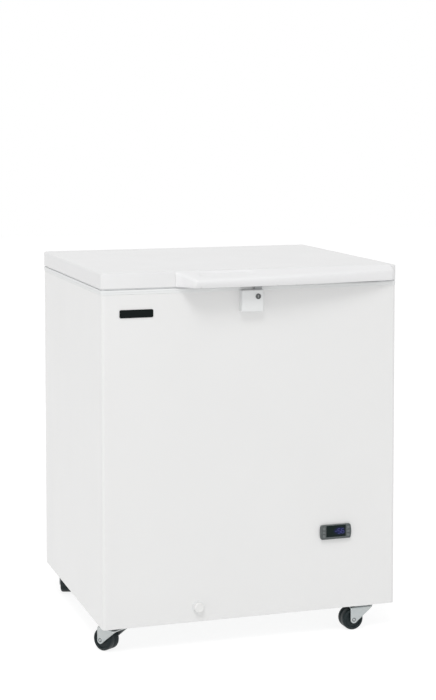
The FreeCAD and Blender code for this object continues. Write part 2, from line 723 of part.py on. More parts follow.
def handle_section(x):
    """Outer section: back, gentle slope, rounded ridge, front face tucked in at the bottom."""
    reach, drop = handle_reach(x), handle_drop(x)
    round_off = min(HANDLE_RIDGE_RADIUS, HANDLE_RIDGE_SHARE * (reach + HANDLE_REBATE))
    tuck = HANDLE_TUCK * reach / HANDLE_REACH
    slope = drop - round_off * 0.7

    def at(out, down):
        return point(x, FRONT - out, TOP - down)

    back_top = at(-HANDLE_REBATE, 0)
    back_bottom = at(-HANDLE_REBATE, LID_SIDE)
    front_bottom = at(reach - tuck, LID_SIDE)
    ridge_low = at(reach, drop + round_off * 0.6)
    ridge_high = at(reach - round_off, slope)
    ridge_middle = at(reach - round_off * 0.22, drop - round_off * 0.22)
    middle_out = (reach - round_off - HANDLE_REBATE) / 2
    slope_middle = at(middle_out, slope * HANDLE_SLOPE_SAG)
    top = Part.Arc(back_top, slope_middle, ridge_high).toShape()
    ridge = Part.Arc(ridge_high, ridge_middle, ridge_low).toShape()
    return Part.Wire([Part.makeLine(back_bottom, back_top), top, ridge,
                      Part.makeLine(ridge_low, front_bottom),
                      Part.makeLine(front_bottom, back_bottom)])


def handle_hollow_section(x):
    """Section of the grip space inside the handle, open below."""
    reach, drop = handle_reach(x), handle_drop(x)
    tuck = HANDLE_TUCK * reach / HANDLE_REACH
    back = -HANDLE_REBATE + HANDLE_WALL
    front = reach - HANDLE_WALL
    below = LID_SIDE + HANDLE_WALL

    def at(out, down):
        return point(x, FRONT - out, TOP - down)

    return Part.makePolygon([
        at(back, below), at(back, HANDLE_TOP_WALL + HANDLE_WALL),
        at((back + front) / 2, drop * 0.5 + HANDLE_TOP_WALL),
        at(front, drop + HANDLE_TOP_WALL),
        at(front - tuck, below), at(back, below)])


def stations(x0, x1, count):
    """Places along the handle, closer together where its flank curves."""
    flank_end = x0 + HANDLE_FLANK
    flank = [x0 + HANDLE_FLANK * i / HANDLE_FLANK_STATIONS for i in range(HANDLE_FLANK_STATIONS)]
    steps = count - HANDLE_FLANK_STATIONS - 1
    return flank + [flank_end + (x1 - flank_end) * i / steps for i in range(steps + 1)]


def handle_dish():
    """Long round-ended cutter that presses a shallow dish into the handle's top."""
    half_width = DISH_WIDTH / 2
    radius = (half_width ** 2 + DISH_DEPTH ** 2) / (2 * DISH_DEPTH)
    start = HANDLE_LEFT + HANDLE_FLANK + DISH_FROM_FLANK
    middle_out = HANDLE_REACH * DISH_REACH_SHARE
    slope = math.atan2(HANDLE_DROP, HANDLE_REACH + HANDLE_REBATE)
    surface = point(0, FRONT - middle_out, TOP - HANDLE_DROP * DISH_DROP_SHARE)
    lift = radius - DISH_DEPTH
    centre = surface.add(point(0, -math.sin(slope) * lift, math.cos(slope) * lift))
    first = point(start + half_width, centre.y, centre.z)
    last = point(start + DISH_LENGTH - half_width, centre.y, centre.z)
    return joined([rod(radius, first, last), Part.makeSphere(radius, first),
                   Part.makeSphere(radius, last)])


def lid_handle():
    """Moulded handle: lofted shell, deepest at the left, undercut grip, ribs in its thin end."""
    outer = Part.makeLoft([handle_section(x) for x in
                           stations(HANDLE_LEFT, HANDLE_RIGHT, HANDLE_STATIONS)], True, True)
    hollow_start = HANDLE_LEFT + HANDLE_HOLLOW_MARGIN
    hollow_end = HANDLE_RIGHT - HANDLE_HOLLOW_MARGIN
    steps = HANDLE_STATIONS - 4
    places = [hollow_start + (hollow_end - hollow_start) * i / steps for i in range(steps + 1)]
    hollow = Part.makeLoft([handle_hollow_section(x) for x in places], True, True)
    x = LOCK_X + LOCK_RIGHT_SPAN + HANDLE_RIB_PITCH / 2
    while x < hollow_end - HANDLE_RIB:
        hollow = hollow.cut(block(x, x + HANDLE_RIB, FRONT - HANDLE_REACH, FRONT + HANDLE_REBATE,
                                  LID_BOTTOM + HANDLE_TUCK, TOP))
        x += HANDLE_RIB_PITCH
    return outer.cut(handle_dish()).cut(hollow)


# Lock

def lock_housing():
    """Hollow moulding on the front under the handle, slotted on top for the hasp."""
    left, right = LOCK_X - LOCK_LEFT_SPAN, LOCK_X + LOCK_RIGHT_SPAN
    outer = block(left, right, LOCK_FACE, WRAP_FRONT, LOCK_BOTTOM, LOCK_TOP)
    rounded = edges_along(outer, point(0, 1, 0))
    outer = outer.makeFillet(LOCK_CORNER, rounded)
    front_edges = [e for e in outer.Edges if abs(e.BoundBox.YMax - LOCK_FACE) < 0.01]
    outer = outer.makeFillet(LOCK_CORNER / 2, front_edges)
    hollow = block(left + LOCK_WALL, right - LOCK_WALL, LOCK_FACE + LOCK_WALL, WRAP_FRONT,
                   LOCK_BOTTOM + LOCK_WALL, LOCK_TOP - LOCK_WALL)
    boss = rod(BARREL_DIAMETER / 2 + LOCK_WALL, point(LOCK_X, LOCK_FACE + LOCK_WALL, BARREL_Z),
               point(LOCK_X, LOCK_FACE + BARREL_BOSS, BARREL_Z))
    boss = boss.common(hollow)
    slot = block(LOCK_X - HASP_LEFT - HASP_GAP, LOCK_X + HASP_RIGHT + HASP_GAP,
                 CAM_MIDDLE - HASP_THICK / 2 - HASP_PLAY, CAM_MIDDLE + HASP_THICK / 2 + HASP_PLAY,
                 LOCK_TOP - LOCK_WALL, LOCK_TOP)
    bore = rod(BARREL_DIAMETER / 2 + RUNNING_FIT, point(LOCK_X, LOCK_FACE, BARREL_Z),
               point(LOCK_X, WRAP_FRONT, BARREL_Z))
    return outer.cut(hollow).fuse(boss).cut(slot).cut(bore)


def lock_barrel():
    """Key barrel with a flanged face, a keyway and a stub for the cam."""
    body = rod(BARREL_DIAMETER / 2, point(LOCK_X, LOCK_FACE, BARREL_Z),
               point(LOCK_X, LOCK_FACE + BARREL_BOSS, BARREL_Z))
    flange = rod(BARREL_FLANGE / 2, point(LOCK_X, LOCK_FACE - BARREL_FLANGE_RISE, BARREL_Z),
                 point(LOCK_X, LOCK_FACE - SEAT_GAP, BARREL_Z))
    stub = rod(CAM_WIDTH / 4, point(LOCK_X, LOCK_FACE, BARREL_Z),
               point(LOCK_X, CAM_FRONT + CAM_THICK, BARREL_Z))
    link = rod(BARREL_DIAMETER / 2, point(LOCK_X, LOCK_FACE - SEAT_GAP, BARREL_Z),
               point(LOCK_X, LOCK_FACE, BARREL_Z))
    keyway = block(LOCK_X - KEYWAY_WIDTH / 2, LOCK_X + KEYWAY_WIDTH / 2,
                   LOCK_FACE - BARREL_FLANGE_RISE, LOCK_FACE + BARREL_BOSS / 2,
                   BARREL_Z - KEYWAY_LENGTH / 2, BARREL_Z + KEYWAY_LENGTH / 2)
    return joined([body, flange, link, stub]).cut(keyway)


def lock_cam():
    """Flat cam on the barrel's stub: it points up when unlocked."""
    disc = rod(CAM_WIDTH / 2 + CAM_SHOULDER, point(LOCK_X, CAM_FRONT, BARREL_Z),
               point(LOCK_X, CAM_FRONT + CAM_THICK, BARREL_Z))
    arm = block(LOCK_X - CAM_WIDTH / 2, LOCK_X + CAM_WIDTH / 2, CAM_FRONT, CAM_FRONT + CAM_THICK,
                BARREL_Z, BARREL_Z + CAM_LENGTH)
    bore = rod(CAM_WIDTH / 4 + RUNNING_FIT, point(LOCK_X, CAM_FRONT, BARREL_Z),
               point(LOCK_X, CAM_FRONT + CAM_THICK, BARREL_Z))
    return joined([disc, arm]).cut(bore)


def lock_hasp():
    """Hooked tongue that hangs from the handle into the lock housing."""
    front, back = CAM_MIDDLE - HASP_THICK / 2, CAM_MIDDLE + HASP_THICK / 2
    root = TOP - HANDLE_TOP_WALL - HANDLE_DROP - HASP_THICK
    neck_bottom = BARREL_Z + CAM_LENGTH + HASP_NECK_GAP
    neck = block(LOCK_X - HASP_LEFT, LOCK_X + HASP_RIGHT, front, back, neck_bottom, root)
    stem = block(LOCK_X + HASP_RIGHT - HASP_STEM, LOCK_X + HASP_RIGHT, front, back,
                 BARREL_Z - CAM_WIDTH / 2 - HASP_GAP - HASP_TOE, neck_bottom)
    toe = block(LOCK_X + CAM_WIDTH / 2 + HASP_PLAY, LOCK_X + HASP_RIGHT, front, back,
                BARREL_Z - CAM_WIDTH / 2 - HASP_GAP - HASP_TOE, BARREL_Z - CAM_WIDTH / 2 - HASP_GAP)
    wall = FRONT + HANDLE_REBATE - HANDLE_WALL
    shelf = block(LOCK_X - HASP_LEFT, LOCK_X + HASP_RIGHT, front, wall, root - HASP_THICK, root)
    leaf = block(LOCK_X - HASP_LEFT, LOCK_X + HASP_RIGHT, wall - HASP_THICK, wall,
                 root - HASP_THICK, root + HASP_LEAF)
    return joined([neck, stem, toe, shelf, leaf])


# Nameplate and controller

def nameplate():
    """Blank plate on the front."""
    x = LEFT + PLATE_FROM_LEFT
    z = RIM_TOP - PLATE_BELOW_RIM
    return plate_on_front(x, z, PLATE_LENGTH, PLATE_HEIGHT, WRAP_FRONT - PLATE_THICK, WRAP_FRONT,
                          PLATE_CORNER)


def window_pocket(grow, y0, y1):
    z = CONTROL_Z + WINDOW_ABOVE_MIDDLE
    return block(CONTROL_X - WINDOW_LENGTH / 2 - grow, CONTROL_X + WINDOW_LENGTH / 2 + grow,
                 y0, y1, z - WINDOW_HEIGHT / 2 - grow, z + WINDOW_HEIGHT / 2 + grow)


def key_places():
    """Middle of each key on the front: three at each side of the window."""
    places = []
    for side in (-1, 1):
        for row in (1, 0, -1):
            places.append((CONTROL_X + side * KEY_OFFSET, CONTROL_Z + row * KEY_PITCH))
    return places


def key_solid(place, grow, y0, y1):
    x, z = place
    return plate_on_front(x, z, KEY_LENGTH + 2 * grow, KEY_HEIGHT + 2 * grow, y0, y1,
                          KEY_CORNER + grow)


def controller_bezel():
    """Panel bezel with bowed ends, a window opening and six key pockets."""
    half_length, half_height = BEZEL_LENGTH / 2, BEZEL_HEIGHT / 2
    side = half_length - BEZEL_BULGE

    def at(along, up):
        return point(CONTROL_X + along, BEZEL_FACE, CONTROL_Z + up)

    outline = [Part.makeLine(at(-side, half_height), at(side, half_height)),
               Part.Arc(at(side, half_height), at(half_length, 0), at(side, -half_height)).toShape(),
               Part.makeLine(at(side, -half_height), at(-side, -half_height)),
               Part.Arc(at(-side, -half_height), at(-half_length, 0), at(-side, half_height)).toShape()]
    solid = face_of(outline).extrude(point(0, BEZEL_RISE, 0))
    corners = edges_along(solid, point(0, 1, 0))
    solid = solid.makeFillet(BEZEL_CORNER, corners)
    front_edges = [e for e in solid.Edges if abs(e.BoundBox.YMax - BEZEL_FACE) < 0.01]
    solid = solid.makeFillet(BEZEL_EDGE, front_edges)
    solid = solid.cut(window_pocket(SEAT_GAP, BEZEL_FACE, BEZEL_FACE + WINDOW_DEPTH))
    for place in key_places():
        solid = solid.cut(key_solid(place, MOVING_GAP, BEZEL_FACE,
                                    BEZEL_FACE + KEY_THICK + KEY_TRAVEL))
    return solid


def controller_body():
    """Case of the controller behind the panel, with a row of terminals."""
    body = block(CONTROL_X - CONTROL_BODY_LENGTH / 2, CONTROL_X + CONTROL_BODY_LENGTH / 2,
                 WRAP_FRONT, WRAP_FRONT + CONTROL_BODY_DEPTH,
                 CONTROL_Z - CONTROL_BODY_HEIGHT / 2, CONTROL_Z + CONTROL_BODY_HEIGHT / 2)
    back = WRAP_FRONT + CONTROL_BODY_DEPTH
    low = CONTROL_Z - TERMINAL_SLOT_DROP
    pitch = CONTROL_BODY_LENGTH / (TERMINALS + 1)
    for i in range(TERMINALS):
        x = CONTROL_X + pitch * (i - (TERMINALS - 1) / 2)
        body = body.cut(block(x - pitch / 4, x + pitch / 4, back - TERMINAL_SLOT_DEPTH, back,
                              low, low + TERMINAL_SLOT_HEIGHT))
    return body


def display_window():
    """Smoked window of the display."""
    return window_pocket(0, BEZEL_FACE + SEAT_GAP, BEZEL_FACE + WINDOW_DEPTH)


def controller_key(place):
    """One sprung key, slightly proud of the bezel."""
    return key_solid(place, 0, BEZEL_FACE - KEY_RISE, BEZEL_FACE - KEY_RISE + KEY_THICK)


# Hinges

def hinge_middles():
    return [LEFT + HINGE_FROM_SIDE, RIGHT - HINGE_FROM_SIDE]


def hinge_base(x):
    """Folded channel on the back panel whose cheeks carry the pin."""
    half = HINGE_WIDTH / 2
    radius = HINGE_KNUCKLE + HINGE_SHEET
    low = PIN_Z - HINGE_DROP
    shoulder = PIN_Z + HINGE_BARREL / 2
    arc_middle = shoulder - ARC_LEAN * (HINGE_BARREL / 2 + HINGE_SHEET)

    def at(y, z):
        return point(x - half, y, z)

    outline = [Part.makeLine(at(PANEL_BACK, low), at(PANEL_BACK, PIN_Z + HINGE_SHEET)),
               Part.makeLine(at(PANEL_BACK, PIN_Z + HINGE_SHEET), at(BACK, PIN_Z + HINGE_SHEET)),
               Part.makeLine(at(BACK, PIN_Z + HINGE_SHEET), at(PIN_Y, shoulder)),
               Part.Arc(at(PIN_Y, shoulder), at(PIN_Y + radius * (1 - ARC_LEAN), arc_middle),
                        at(PIN_Y + radius, PIN_Z - HINGE_SHEET)).toShape(),
               Part.makeLine(at(PIN_Y + radius, PIN_Z - HINGE_SHEET),
                             at(PIN_Y + radius, low + radius)),
               Part.makeLine(at(PIN_Y + radius, low + radius), at(PANEL_BACK, low))]
    body = face_of(outline).extrude(point(HINGE_WIDTH, 0, 0))
    body = body.cut(rim_clearance())
    hollow = block(x - half + HINGE_SHEET, x + half - HINGE_SHEET, PANEL_BACK + HINGE_SHEET,
                   PIN_Y + radius - HINGE_SHEET, low, PIN_Z - HINGE_KNUCKLE - HINGE_SHEET)
    mouth = block(x - half + HINGE_SHEET, x + half - HINGE_SHEET, PANEL_BACK,
                  PIN_Y + radius, PIN_Z - HINGE_KNUCKLE - HINGE_SHEET, LID_BOTTOM)
    bore = rod(PIN_DIAMETER / 2 + RUNNING_FIT, at(PIN_Y, PIN_Z),
               point(x + half, PIN_Y, PIN_Z))
    return body.cut(hollow).cut(mouth).cut(bore)


def rim_clearance():
    """The rim band's space at the back, kept clear of the hinge bases."""
    low = RIM_TOP - RIM_BAND - SEAT_GAP
    return block(LEFT, RIGHT, PANEL_BACK - SHEET, BACK + SEAT_GAP, low, LID_BOTTOM)


def hinge_bases():
    return group([hinge_base(x) for x in hinge_middles()])


def hinge_pins():
    """Headed pins through the cheeks."""
    pins = []
    for x in hinge_middles():
        half = HINGE_WIDTH / 2 + SEAT_GAP
        shaft = rod(PIN_DIAMETER / 2, point(x - half, PIN_Y, PIN_Z), point(x + half, PIN_Y, PIN_Z))
        heads = [rod(PIN_HEAD / 2, point(x + side * half, PIN_Y, PIN_Z),
                     point(x + side * (half + HINGE_SHEET), PIN_Y, PIN_Z)) for side in (-1, 1)]
        pins.append(joined([shaft] + heads))
    return group(pins)


def hinge_arm(x):
    """Lid leaf: a plate on the lid's back, a web and a knuckle round the pin."""
    half = HINGE_WIDTH / 2 - HINGE_SHEET - MOVING_GAP
    leaf = block(x - half, x + half, BACK, BACK + HINGE_SHEET, LID_BOTTOM + HINGE_SHEET,
                 TOP - LID_EDGE_RADIUS - SHEET)
    knuckle = rod(HINGE_BARREL / 2, point(x - half, PIN_Y, PIN_Z), point(x + half, PIN_Y, PIN_Z))
    web = polygon([point(x - half, BACK, LID_BOTTOM + HINGE_SHEET),
                   point(x - half, BACK + HINGE_SHEET, LID_BOTTOM + 3 * HINGE_SHEET),
                   point(x - half, PIN_Y + HINGE_SHEET, PIN_Z),
                   point(x - half, PIN_Y - HINGE_SHEET, PIN_Z)]).extrude(point(2 * half, 0, 0))
    bore = rod(PIN_DIAMETER / 2 + RUNNING_FIT, point(x - half, PIN_Y, PIN_Z),
               point(x + half, PIN_Y, PIN_Z))
    return joined([leaf, web, knuckle]).cut(bore)


def hinge_arms():
    return group([hinge_arm(x) for x in hinge_middles()])


# Castors

def castor_place(corner):
    """Swivel centre of a castor in plan."""
    side, end = CASTOR_SIDE_INSET[corner], CASTOR_END_INSET[corner]
    x = LEFT + side if corner.endswith("l") else RIGHT - side
    y = FRONT + end if corner.startswith("f") else BACK - end
    return x, y


def set_in_place(shape, corner):
    """Turns a castor piece to its heading and carries it to its corner."""
    x, y = castor_place(corner)
    placed = shape.copy()
    placed.rotate(point(0, 0, 0), point(0, 0, 1), CASTOR_HEADING[corner])
    placed.translate(point(x, y, 0))
    return placed


def fork_cheek(y):
    """Side of the fork: upright edge by the axle, round nose, slanted edge to the tail."""
    axle_z = WHEEL_DIAMETER / 2
    centre = point(-CASTOR_TRAIL, y, axle_z)
    tail = point(FORK_TAIL, y, CROWN_BOTTOM)
    reach = tail.sub(centre)
    distance = math.hypot(reach.x, reach.z)
    touch = math.atan2(reach.z, reach.x) - math.acos(FORK_NOSE / distance)

    def on_nose(angle):
        return point(centre.x + FORK_NOSE * math.cos(angle), y, axle_z + FORK_NOSE * math.sin(angle))

    high = point(centre.x - FORK_NOSE, y, CROWN_TOP)
    arc = Part.Arc(on_nose(math.pi), on_nose((touch - math.pi) / 2), on_nose(touch)).toShape()
    outline = [Part.makeLine(high, on_nose(math.pi)), arc,
               Part.makeLine(on_nose(touch), tail),
               Part.makeLine(tail, point(FORK_TAIL, y, CROWN_TOP)),
               Part.makeLine(point(FORK_TAIL, y, CROWN_TOP), high)]
    return face_of(outline).extrude(point(0, FORK_SHEET, 0))


def fork_half_width():
    return WHEEL_WIDTH / 2 + WHEEL_SIDE_GAP + FORK_SHEET


def castor_fork():
    """Bent sheet fork: crown with the kingpin's hole, two cheeks with the axle's holes."""
    half = fork_half_width()
    crown = block(-CASTOR_TRAIL - FORK_NOSE, FORK_TAIL, -half, half, CROWN_BOTTOM, CROWN_TOP)
    fork = joined([crown, fork_cheek(-half), fork_cheek(half - FORK_SHEET)])
    bends = [e for e in edges_along(fork, point(1, 0, 0))
             if abs(e.CenterOfMass.z - CROWN_TOP) < 0.01 and abs(abs(e.CenterOfMass.y) - half) < 0.01]
    fork = fork.makeFillet(FORK_BEND, bends)
    hole = rod(KINGPIN_DIAMETER / 2 + RUNNING_FIT, point(0, 0, CROWN_BOTTOM), point(0, 0, CROWN_TOP))
    axle_z = WHEEL_DIAMETER / 2
    axle = rod(AXLE_DIAMETER / 2 + RUNNING_FIT, point(-CASTOR_TRAIL, -half, axle_z),
               point(-CASTOR_TRAIL, half, axle_z))
    return fork.cut(hole).cut(axle)


def castor_axle():
    """Rivet through the fork and the wheel, with a domed head at each end."""
    half = fork_half_width()

    def at(along):
        return point(-CASTOR_TRAIL, along, WHEEL_DIAMETER / 2)

    shaft = rod(AXLE_DIAMETER / 2, at(-half), at(half))
    heads = []
    for side in (-1, 1):
        outer = side * (half + RIVET_RISE)
        head = rod(RIVET_HEAD / 2, at(side * half), at(outer))
        rim = [e for e in head.Edges if abs(e.CenterOfMass.y - outer) < 0.01]
        heads.append(head.makeFillet(RIVET_RISE * 0.8, rim))
    return joined([shaft] + heads)


def castor_wheel():
    """Solid black wheel: rounded tread, dished sides, hub with a running bore."""
    half = WHEEL_WIDTH / 2
    radius = WHEEL_DIAMETER / 2
    axle_z = WHEEL_DIAMETER / 2
    shoulder = WHEEL_SHOULDER
    bore = AXLE_DIAMETER / 2 + RUNNING_FIT
    hub = WHEEL_HUB / 2
    dish = half - WHEEL_DISH
    inside = radius - shoulder - WHEEL_DISH_LIP
    lean = ARC_LEAN * shoulder

    def at(out, along):
        return point(-CASTOR_TRAIL, along, axle_z + out)

    outline = [Part.makeLine(at(bore, -half), at(hub, -half)),
               Part.makeLine(at(hub, -half), at(hub + HUB_DRAFT, -dish)),
               Part.makeLine(at(hub + HUB_DRAFT, -dish), at(inside, -dish)),
               Part.makeLine(at(inside, -dish), at(radius - shoulder, -half)),
               Part.Arc(at(radius - shoulder, -half), at(radius - lean, -half + lean),
                        at(radius, -half + shoulder)).toShape(),
               Part.makeLine(at(radius, -half + shoulder), at(radius, half - shoulder)),
               Part.Arc(at(radius, half - shoulder), at(radius - lean, half - lean),
                        at(radius - shoulder, half)).toShape(),
               Part.makeLine(at(radius - shoulder, half), at(inside, dish)),
               Part.makeLine(at(inside, dish), at(hub + HUB_DRAFT, dish)),
               Part.makeLine(at(hub + HUB_DRAFT, dish), at(hub, half)),
               Part.makeLine(at(hub, half), at(bore, half)),
               Part.makeLine(at(bore, half), at(bore, -half))]
    return face_of(outline).revolve(at(0, 0), point(0, 1, 0), 360)


def castor_plate():
    """Mounting plate with four bolt holes, the swivel race and the kingpin."""
    half = CASTOR_PLATE / 2
    low = BOTTOM - CASTOR_PLATE_SHEET
    plate = prism(-half, half, -half, half, low, BOTTOM, CASTOR_PLATE_CORNER)
    for x in (-1, 1):
        for y in (-1, 1):
            place = point(x * CASTOR_BOLT_SPACING / 2, y * CASTOR_BOLT_SPACING / 2, low)
            plate = plate.cut(rod(CASTOR_BOLT_HOLE / 2, place, place.add(point(0, 0, CASTOR_PLATE_SHEET))))
    race = rod(RACE_DIAMETER / 2, point(0, 0, CROWN_TOP + RACE_GAP), point(0, 0, low))
    head_top = CROWN_BOTTOM - RACE_GAP
    pin = rod(KINGPIN_DIAMETER / 2, point(0, 0, head_top), point(0, 0, low))
    head = rod(KINGPIN_HEAD / 2, point(0, 0, head_top - KINGPIN_HEAD_RISE), point(0, 0, head_top))
    return joined([plate, race, pin, head])


def castor_plates():
    """Four fixed castor plates; each keeps square to the cabinet."""
    plates = []
    for corner in CASTOR_HEADING:
        x, y = castor_place(corner)
        plate = castor_plate()
        plate.translate(point(x, y, 0))
        plates.append(plate)
    return group(plates)


# Grille, rear cover, inlet

def side_grille():
    """Snap-in moulded grille with leaning slats."""
    frame_out = grille_box(GRILLE_FRAME / 2, WRAP_RIGHT, RIGHT)
    core = grille_box(0, RIGHT - GRILLE_DEPTH, WRAP_RIGHT)
    window = grille_box(-GRILLE_FRAME / 2, RIGHT - GRILLE_DEPTH, RIGHT)
    frame = frame_out.fuse(core).cut(window)
    back = BACK - GRILLE_FROM_BACK
    low = BOTTOM + GRILLE_ABOVE_BASE + GRILLE_FRAME / 2
    pitch = (GRILLE_HEIGHT - GRILLE_FRAME) / (GRILLE_SLATS + 0.5)
    start = back - GRILLE_LENGTH + GRILLE_FRAME / 2
    inner, outer = RIGHT - GRILLE_DEPTH, RIGHT - WRAP_INSET / 2
    slats = []
    for i in range(GRILLE_SLATS):
        z = low + pitch * (i + SLAT_FIRST)
        slat = polygon([point(outer, start, z), point(outer, start, z + SLAT_THICK),
                        point(inner, start, z + SLAT_LEAN + SLAT_THICK),
                        point(inner, start, z + SLAT_LEAN)])
        slats.append(slat.extrude(point(0, GRILLE_LENGTH - GRILLE_FRAME, 0)))
    return joined([frame] + slats)


def louvre(z):
    """One pressed louvre: a leaning hood with closed cheeks, and the slot behind it."""
    half = LOUVRE_LENGTH / 2
    face = PANEL_BACK + SHEET

    def at(x, y, up):
        return point(x, y, z + up)

    def wedge(x0, x1, thin):
        profile = polygon([at(x0, face - SHEET, LOUVRE_HEIGHT), at(x0, face + thin, LOUVRE_HEIGHT),
                           at(x0, face + LOUVRE_RISE, 0.0), at(x0, face - SHEET, 0.0)])
        return profile.extrude(point(x1 - x0, 0, 0))

    outer = wedge(COVER_X - half, COVER_X + half, 0.0)
    inner = wedge(COVER_X - half + SHEET, COVER_X + half - SHEET, -SHEET)
    inner.translate(point(0, -SHEET, 0))
    return outer, inner


def inlet_z():
    return COVER_BOTTOM + INLET_ABOVE_COVER


def rear_cover():
    """Screwed cover over the machinery with rows of pressed louvres."""
    cover = rear_opening(COVER_LAP, PANEL_BACK, PANEL_BACK + SHEET)
    first = COVER_TOP - LOUVRES * LOUVRE_PITCH - LOUVRE_HEIGHT
    for i in range(LOUVRES):
        outer, inner = louvre(first + i * LOUVRE_PITCH)
        cover = cover.fuse(outer).cut(inner)
    opening = block(COVER_X - INLET_BODY_LENGTH / 2 - SEAT_GAP, COVER_X + INLET_BODY_LENGTH / 2 + SEAT_GAP,
                    PANEL_BACK, PANEL_BACK + SHEET, inlet_z() - INLET_BODY_HEIGHT / 2 - SEAT_GAP,
                    inlet_z() + INLET_BODY_HEIGHT / 2 + SEAT_GAP)
    cover = cover.cut(opening)
    return cover.removeSplitter()


def cover_screws():
    """Pan-head screws at the cover's corners."""
    screws = []
    face = PANEL_BACK + SHEET
    inset = COVER_LAP / 2
    for x in (COVER_LEFT - COVER_LAP + inset, COVER_RIGHT + COVER_LAP - inset):
        for z in (COVER_BOTTOM - COVER_LAP + inset, COVER_TOP + COVER_LAP - inset):
            head = rod(SCREW_HEAD / 2, point(x, face, z), point(x, face + SCREW_RISE, z))
            outer_edge = [e for e in head.Edges if abs(e.BoundBox.YMin - face - SCREW_RISE) < 0.01]
            screws.append(head.makeChamfer(SCREW_RISE / 2, outer_edge))
    return group(screws)


def power_inlet():
    """Appliance inlet: flanged socket moulding with three blades."""
    z = inlet_z()
    face = PANEL_BACK + SHEET
    half_length, half_height = INLET_BODY_LENGTH / 2, INLET_BODY_HEIGHT / 2
    flange = plate_on_front(COVER_X, z, INLET_LENGTH, INLET_HEIGHT, face, face + INLET_RIM,
                            INLET_CORNER)
    body = block(COVER_X - half_length, COVER_X + half_length, face - INLET_DEPTH, face,
                 z - half_height, z + half_height)
    wall = INLET_WALL
    mouth = block(COVER_X - half_length + wall, COVER_X + half_length - wall,
                  face - INLET_DEPTH + 2 * wall, face + INLET_RIM, z - half_height + wall,
                  z + half_height - wall)
    upper = edges_along(mouth, point(0, 1, 0))
    chamfered = [e for e in upper if e.CenterOfMass.z > z]
    mouth = mouth.makeChamfer(INLET_CORNER, chamfered)
    socket = flange.fuse(body).cut(mouth)
    pins = []
    base = face - INLET_DEPTH + 2 * wall
    for side in (-1, 0, 1):
        x = COVER_X + side * INLET_PIN_PITCH
        up = -INLET_PIN_STAGGER if side else INLET_PIN_STAGGER
        pins.append(block(x - INLET_PIN_THICK / 2, x + INLET_PIN_THICK / 2, base - wall,
                          base + INLET_PIN_LENGTH, z + up - INLET_PIN_WIDTH / 2,
                          z + up + INLET_PIN_WIDTH / 2))
    return joined([socket] + pins)


# Refrigeration machinery

def compressor():
    """Hermetic pot: a domed body in two halves with a weld flange."""
    radius = COMPRESSOR_DIAMETER / 2
    wall = radius - COMPRESSOR_FLANGE
    low = POT_BOTTOM
    high = low + COMPRESSOR_HEIGHT
    seam = (low + high) / 2
    dome = COMPRESSOR_DOME
    lean = ARC_LEAN * dome

    def at(out, z):
        return point(FAN_X + out, COMPRESSOR_Y, z)

    outline = [Part.makeLine(at(0, low), at(wall - dome, low)),
               Part.Arc(at(wall - dome, low), at(wall - lean, low + lean),
                        at(wall, low + dome)).toShape(),
               Part.makeLine(at(wall, low + dome), at(wall, seam - COMPRESSOR_FLANGE)),
               Part.makeLine(at(wall, seam - COMPRESSOR_FLANGE), at(radius, seam - COMPRESSOR_FLANGE)),
               Part.makeLine(at(radius, seam - COMPRESSOR_FLANGE), at(radius, seam)),
               Part.makeLine(at(radius, seam), at(wall, seam)),
               Part.makeLine(at(wall, seam), at(wall, high - dome)),
               Part.Arc(at(wall, high - dome), at(wall - lean, high - lean),
                        at(wall - dome, high)).toShape(),
               Part.makeLine(at(wall - dome, high), at(0, high)),
               Part.makeLine(at(0, high), at(0, low))]
    return face_of(outline).revolve(at(0, low), point(0, 0, 1), 360)


def compressor_feet():
    """Rubber grommets under the two mounting bars."""
    feet = []
    for x in (-1, 1):
        for y in (-1, 1):
            start = point(FAN_X + x * FOOT_SPREAD / 2, COMPRESSOR_Y + y * FOOT_SPREAD / 2, TRAY_TOP)
            feet.append(rod(FOOT_DIAMETER / 2, start, start.add(point(0, 0, FOOT_HEIGHT))))
    return group(feet)


def compressor_bars():
    """Two steel bars that carry the pot on its grommets."""
    low = TRAY_TOP + FOOT_HEIGHT
    half = FOOT_SPREAD / 2 + MOUNT_BAR / 2
    bars = []
    for y in (-1, 1):
        middle = COMPRESSOR_Y + y * FOOT_SPREAD / 2
        bars.append(block(FAN_X - half, FAN_X + half, middle - MOUNT_BAR / 2,
                          middle + MOUNT_BAR / 2, low, low + MOUNT_SHEET))
    saddle = block(FAN_X - MOUNT_BAR, FAN_X + MOUNT_BAR, COMPRESSOR_Y - FOOT_SPREAD / 2,
                   COMPRESSOR_Y + FOOT_SPREAD / 2, low, low + MOUNT_SHEET)
    return joined(bars + [saddle])


def terminal_box():
    """Relay and terminal cover on the pot's front side."""
    radius = COMPRESSOR_DIAMETER / 2
    low = POT_BOTTOM + TERMINAL_LEVEL
    cover = block(FAN_X - TERMINAL_WIDTH / 2, FAN_X + TERMINAL_WIDTH / 2,
                  COMPRESSOR_Y - radius - TERMINAL_LENGTH / 2,
                  COMPRESSOR_Y - radius + TERMINAL_LENGTH / 2, low, low + TERMINAL_HEIGHT)
    cover = cover.makeFillet(TERMINAL_CORNER, edges_along(cover, point(0, 0, 1)))
    pot = rod(radius + SEAT_GAP, point(FAN_X, COMPRESSOR_Y, low), point(FAN_X, COMPRESSOR_Y, TOP))
    return cover.cut(pot)


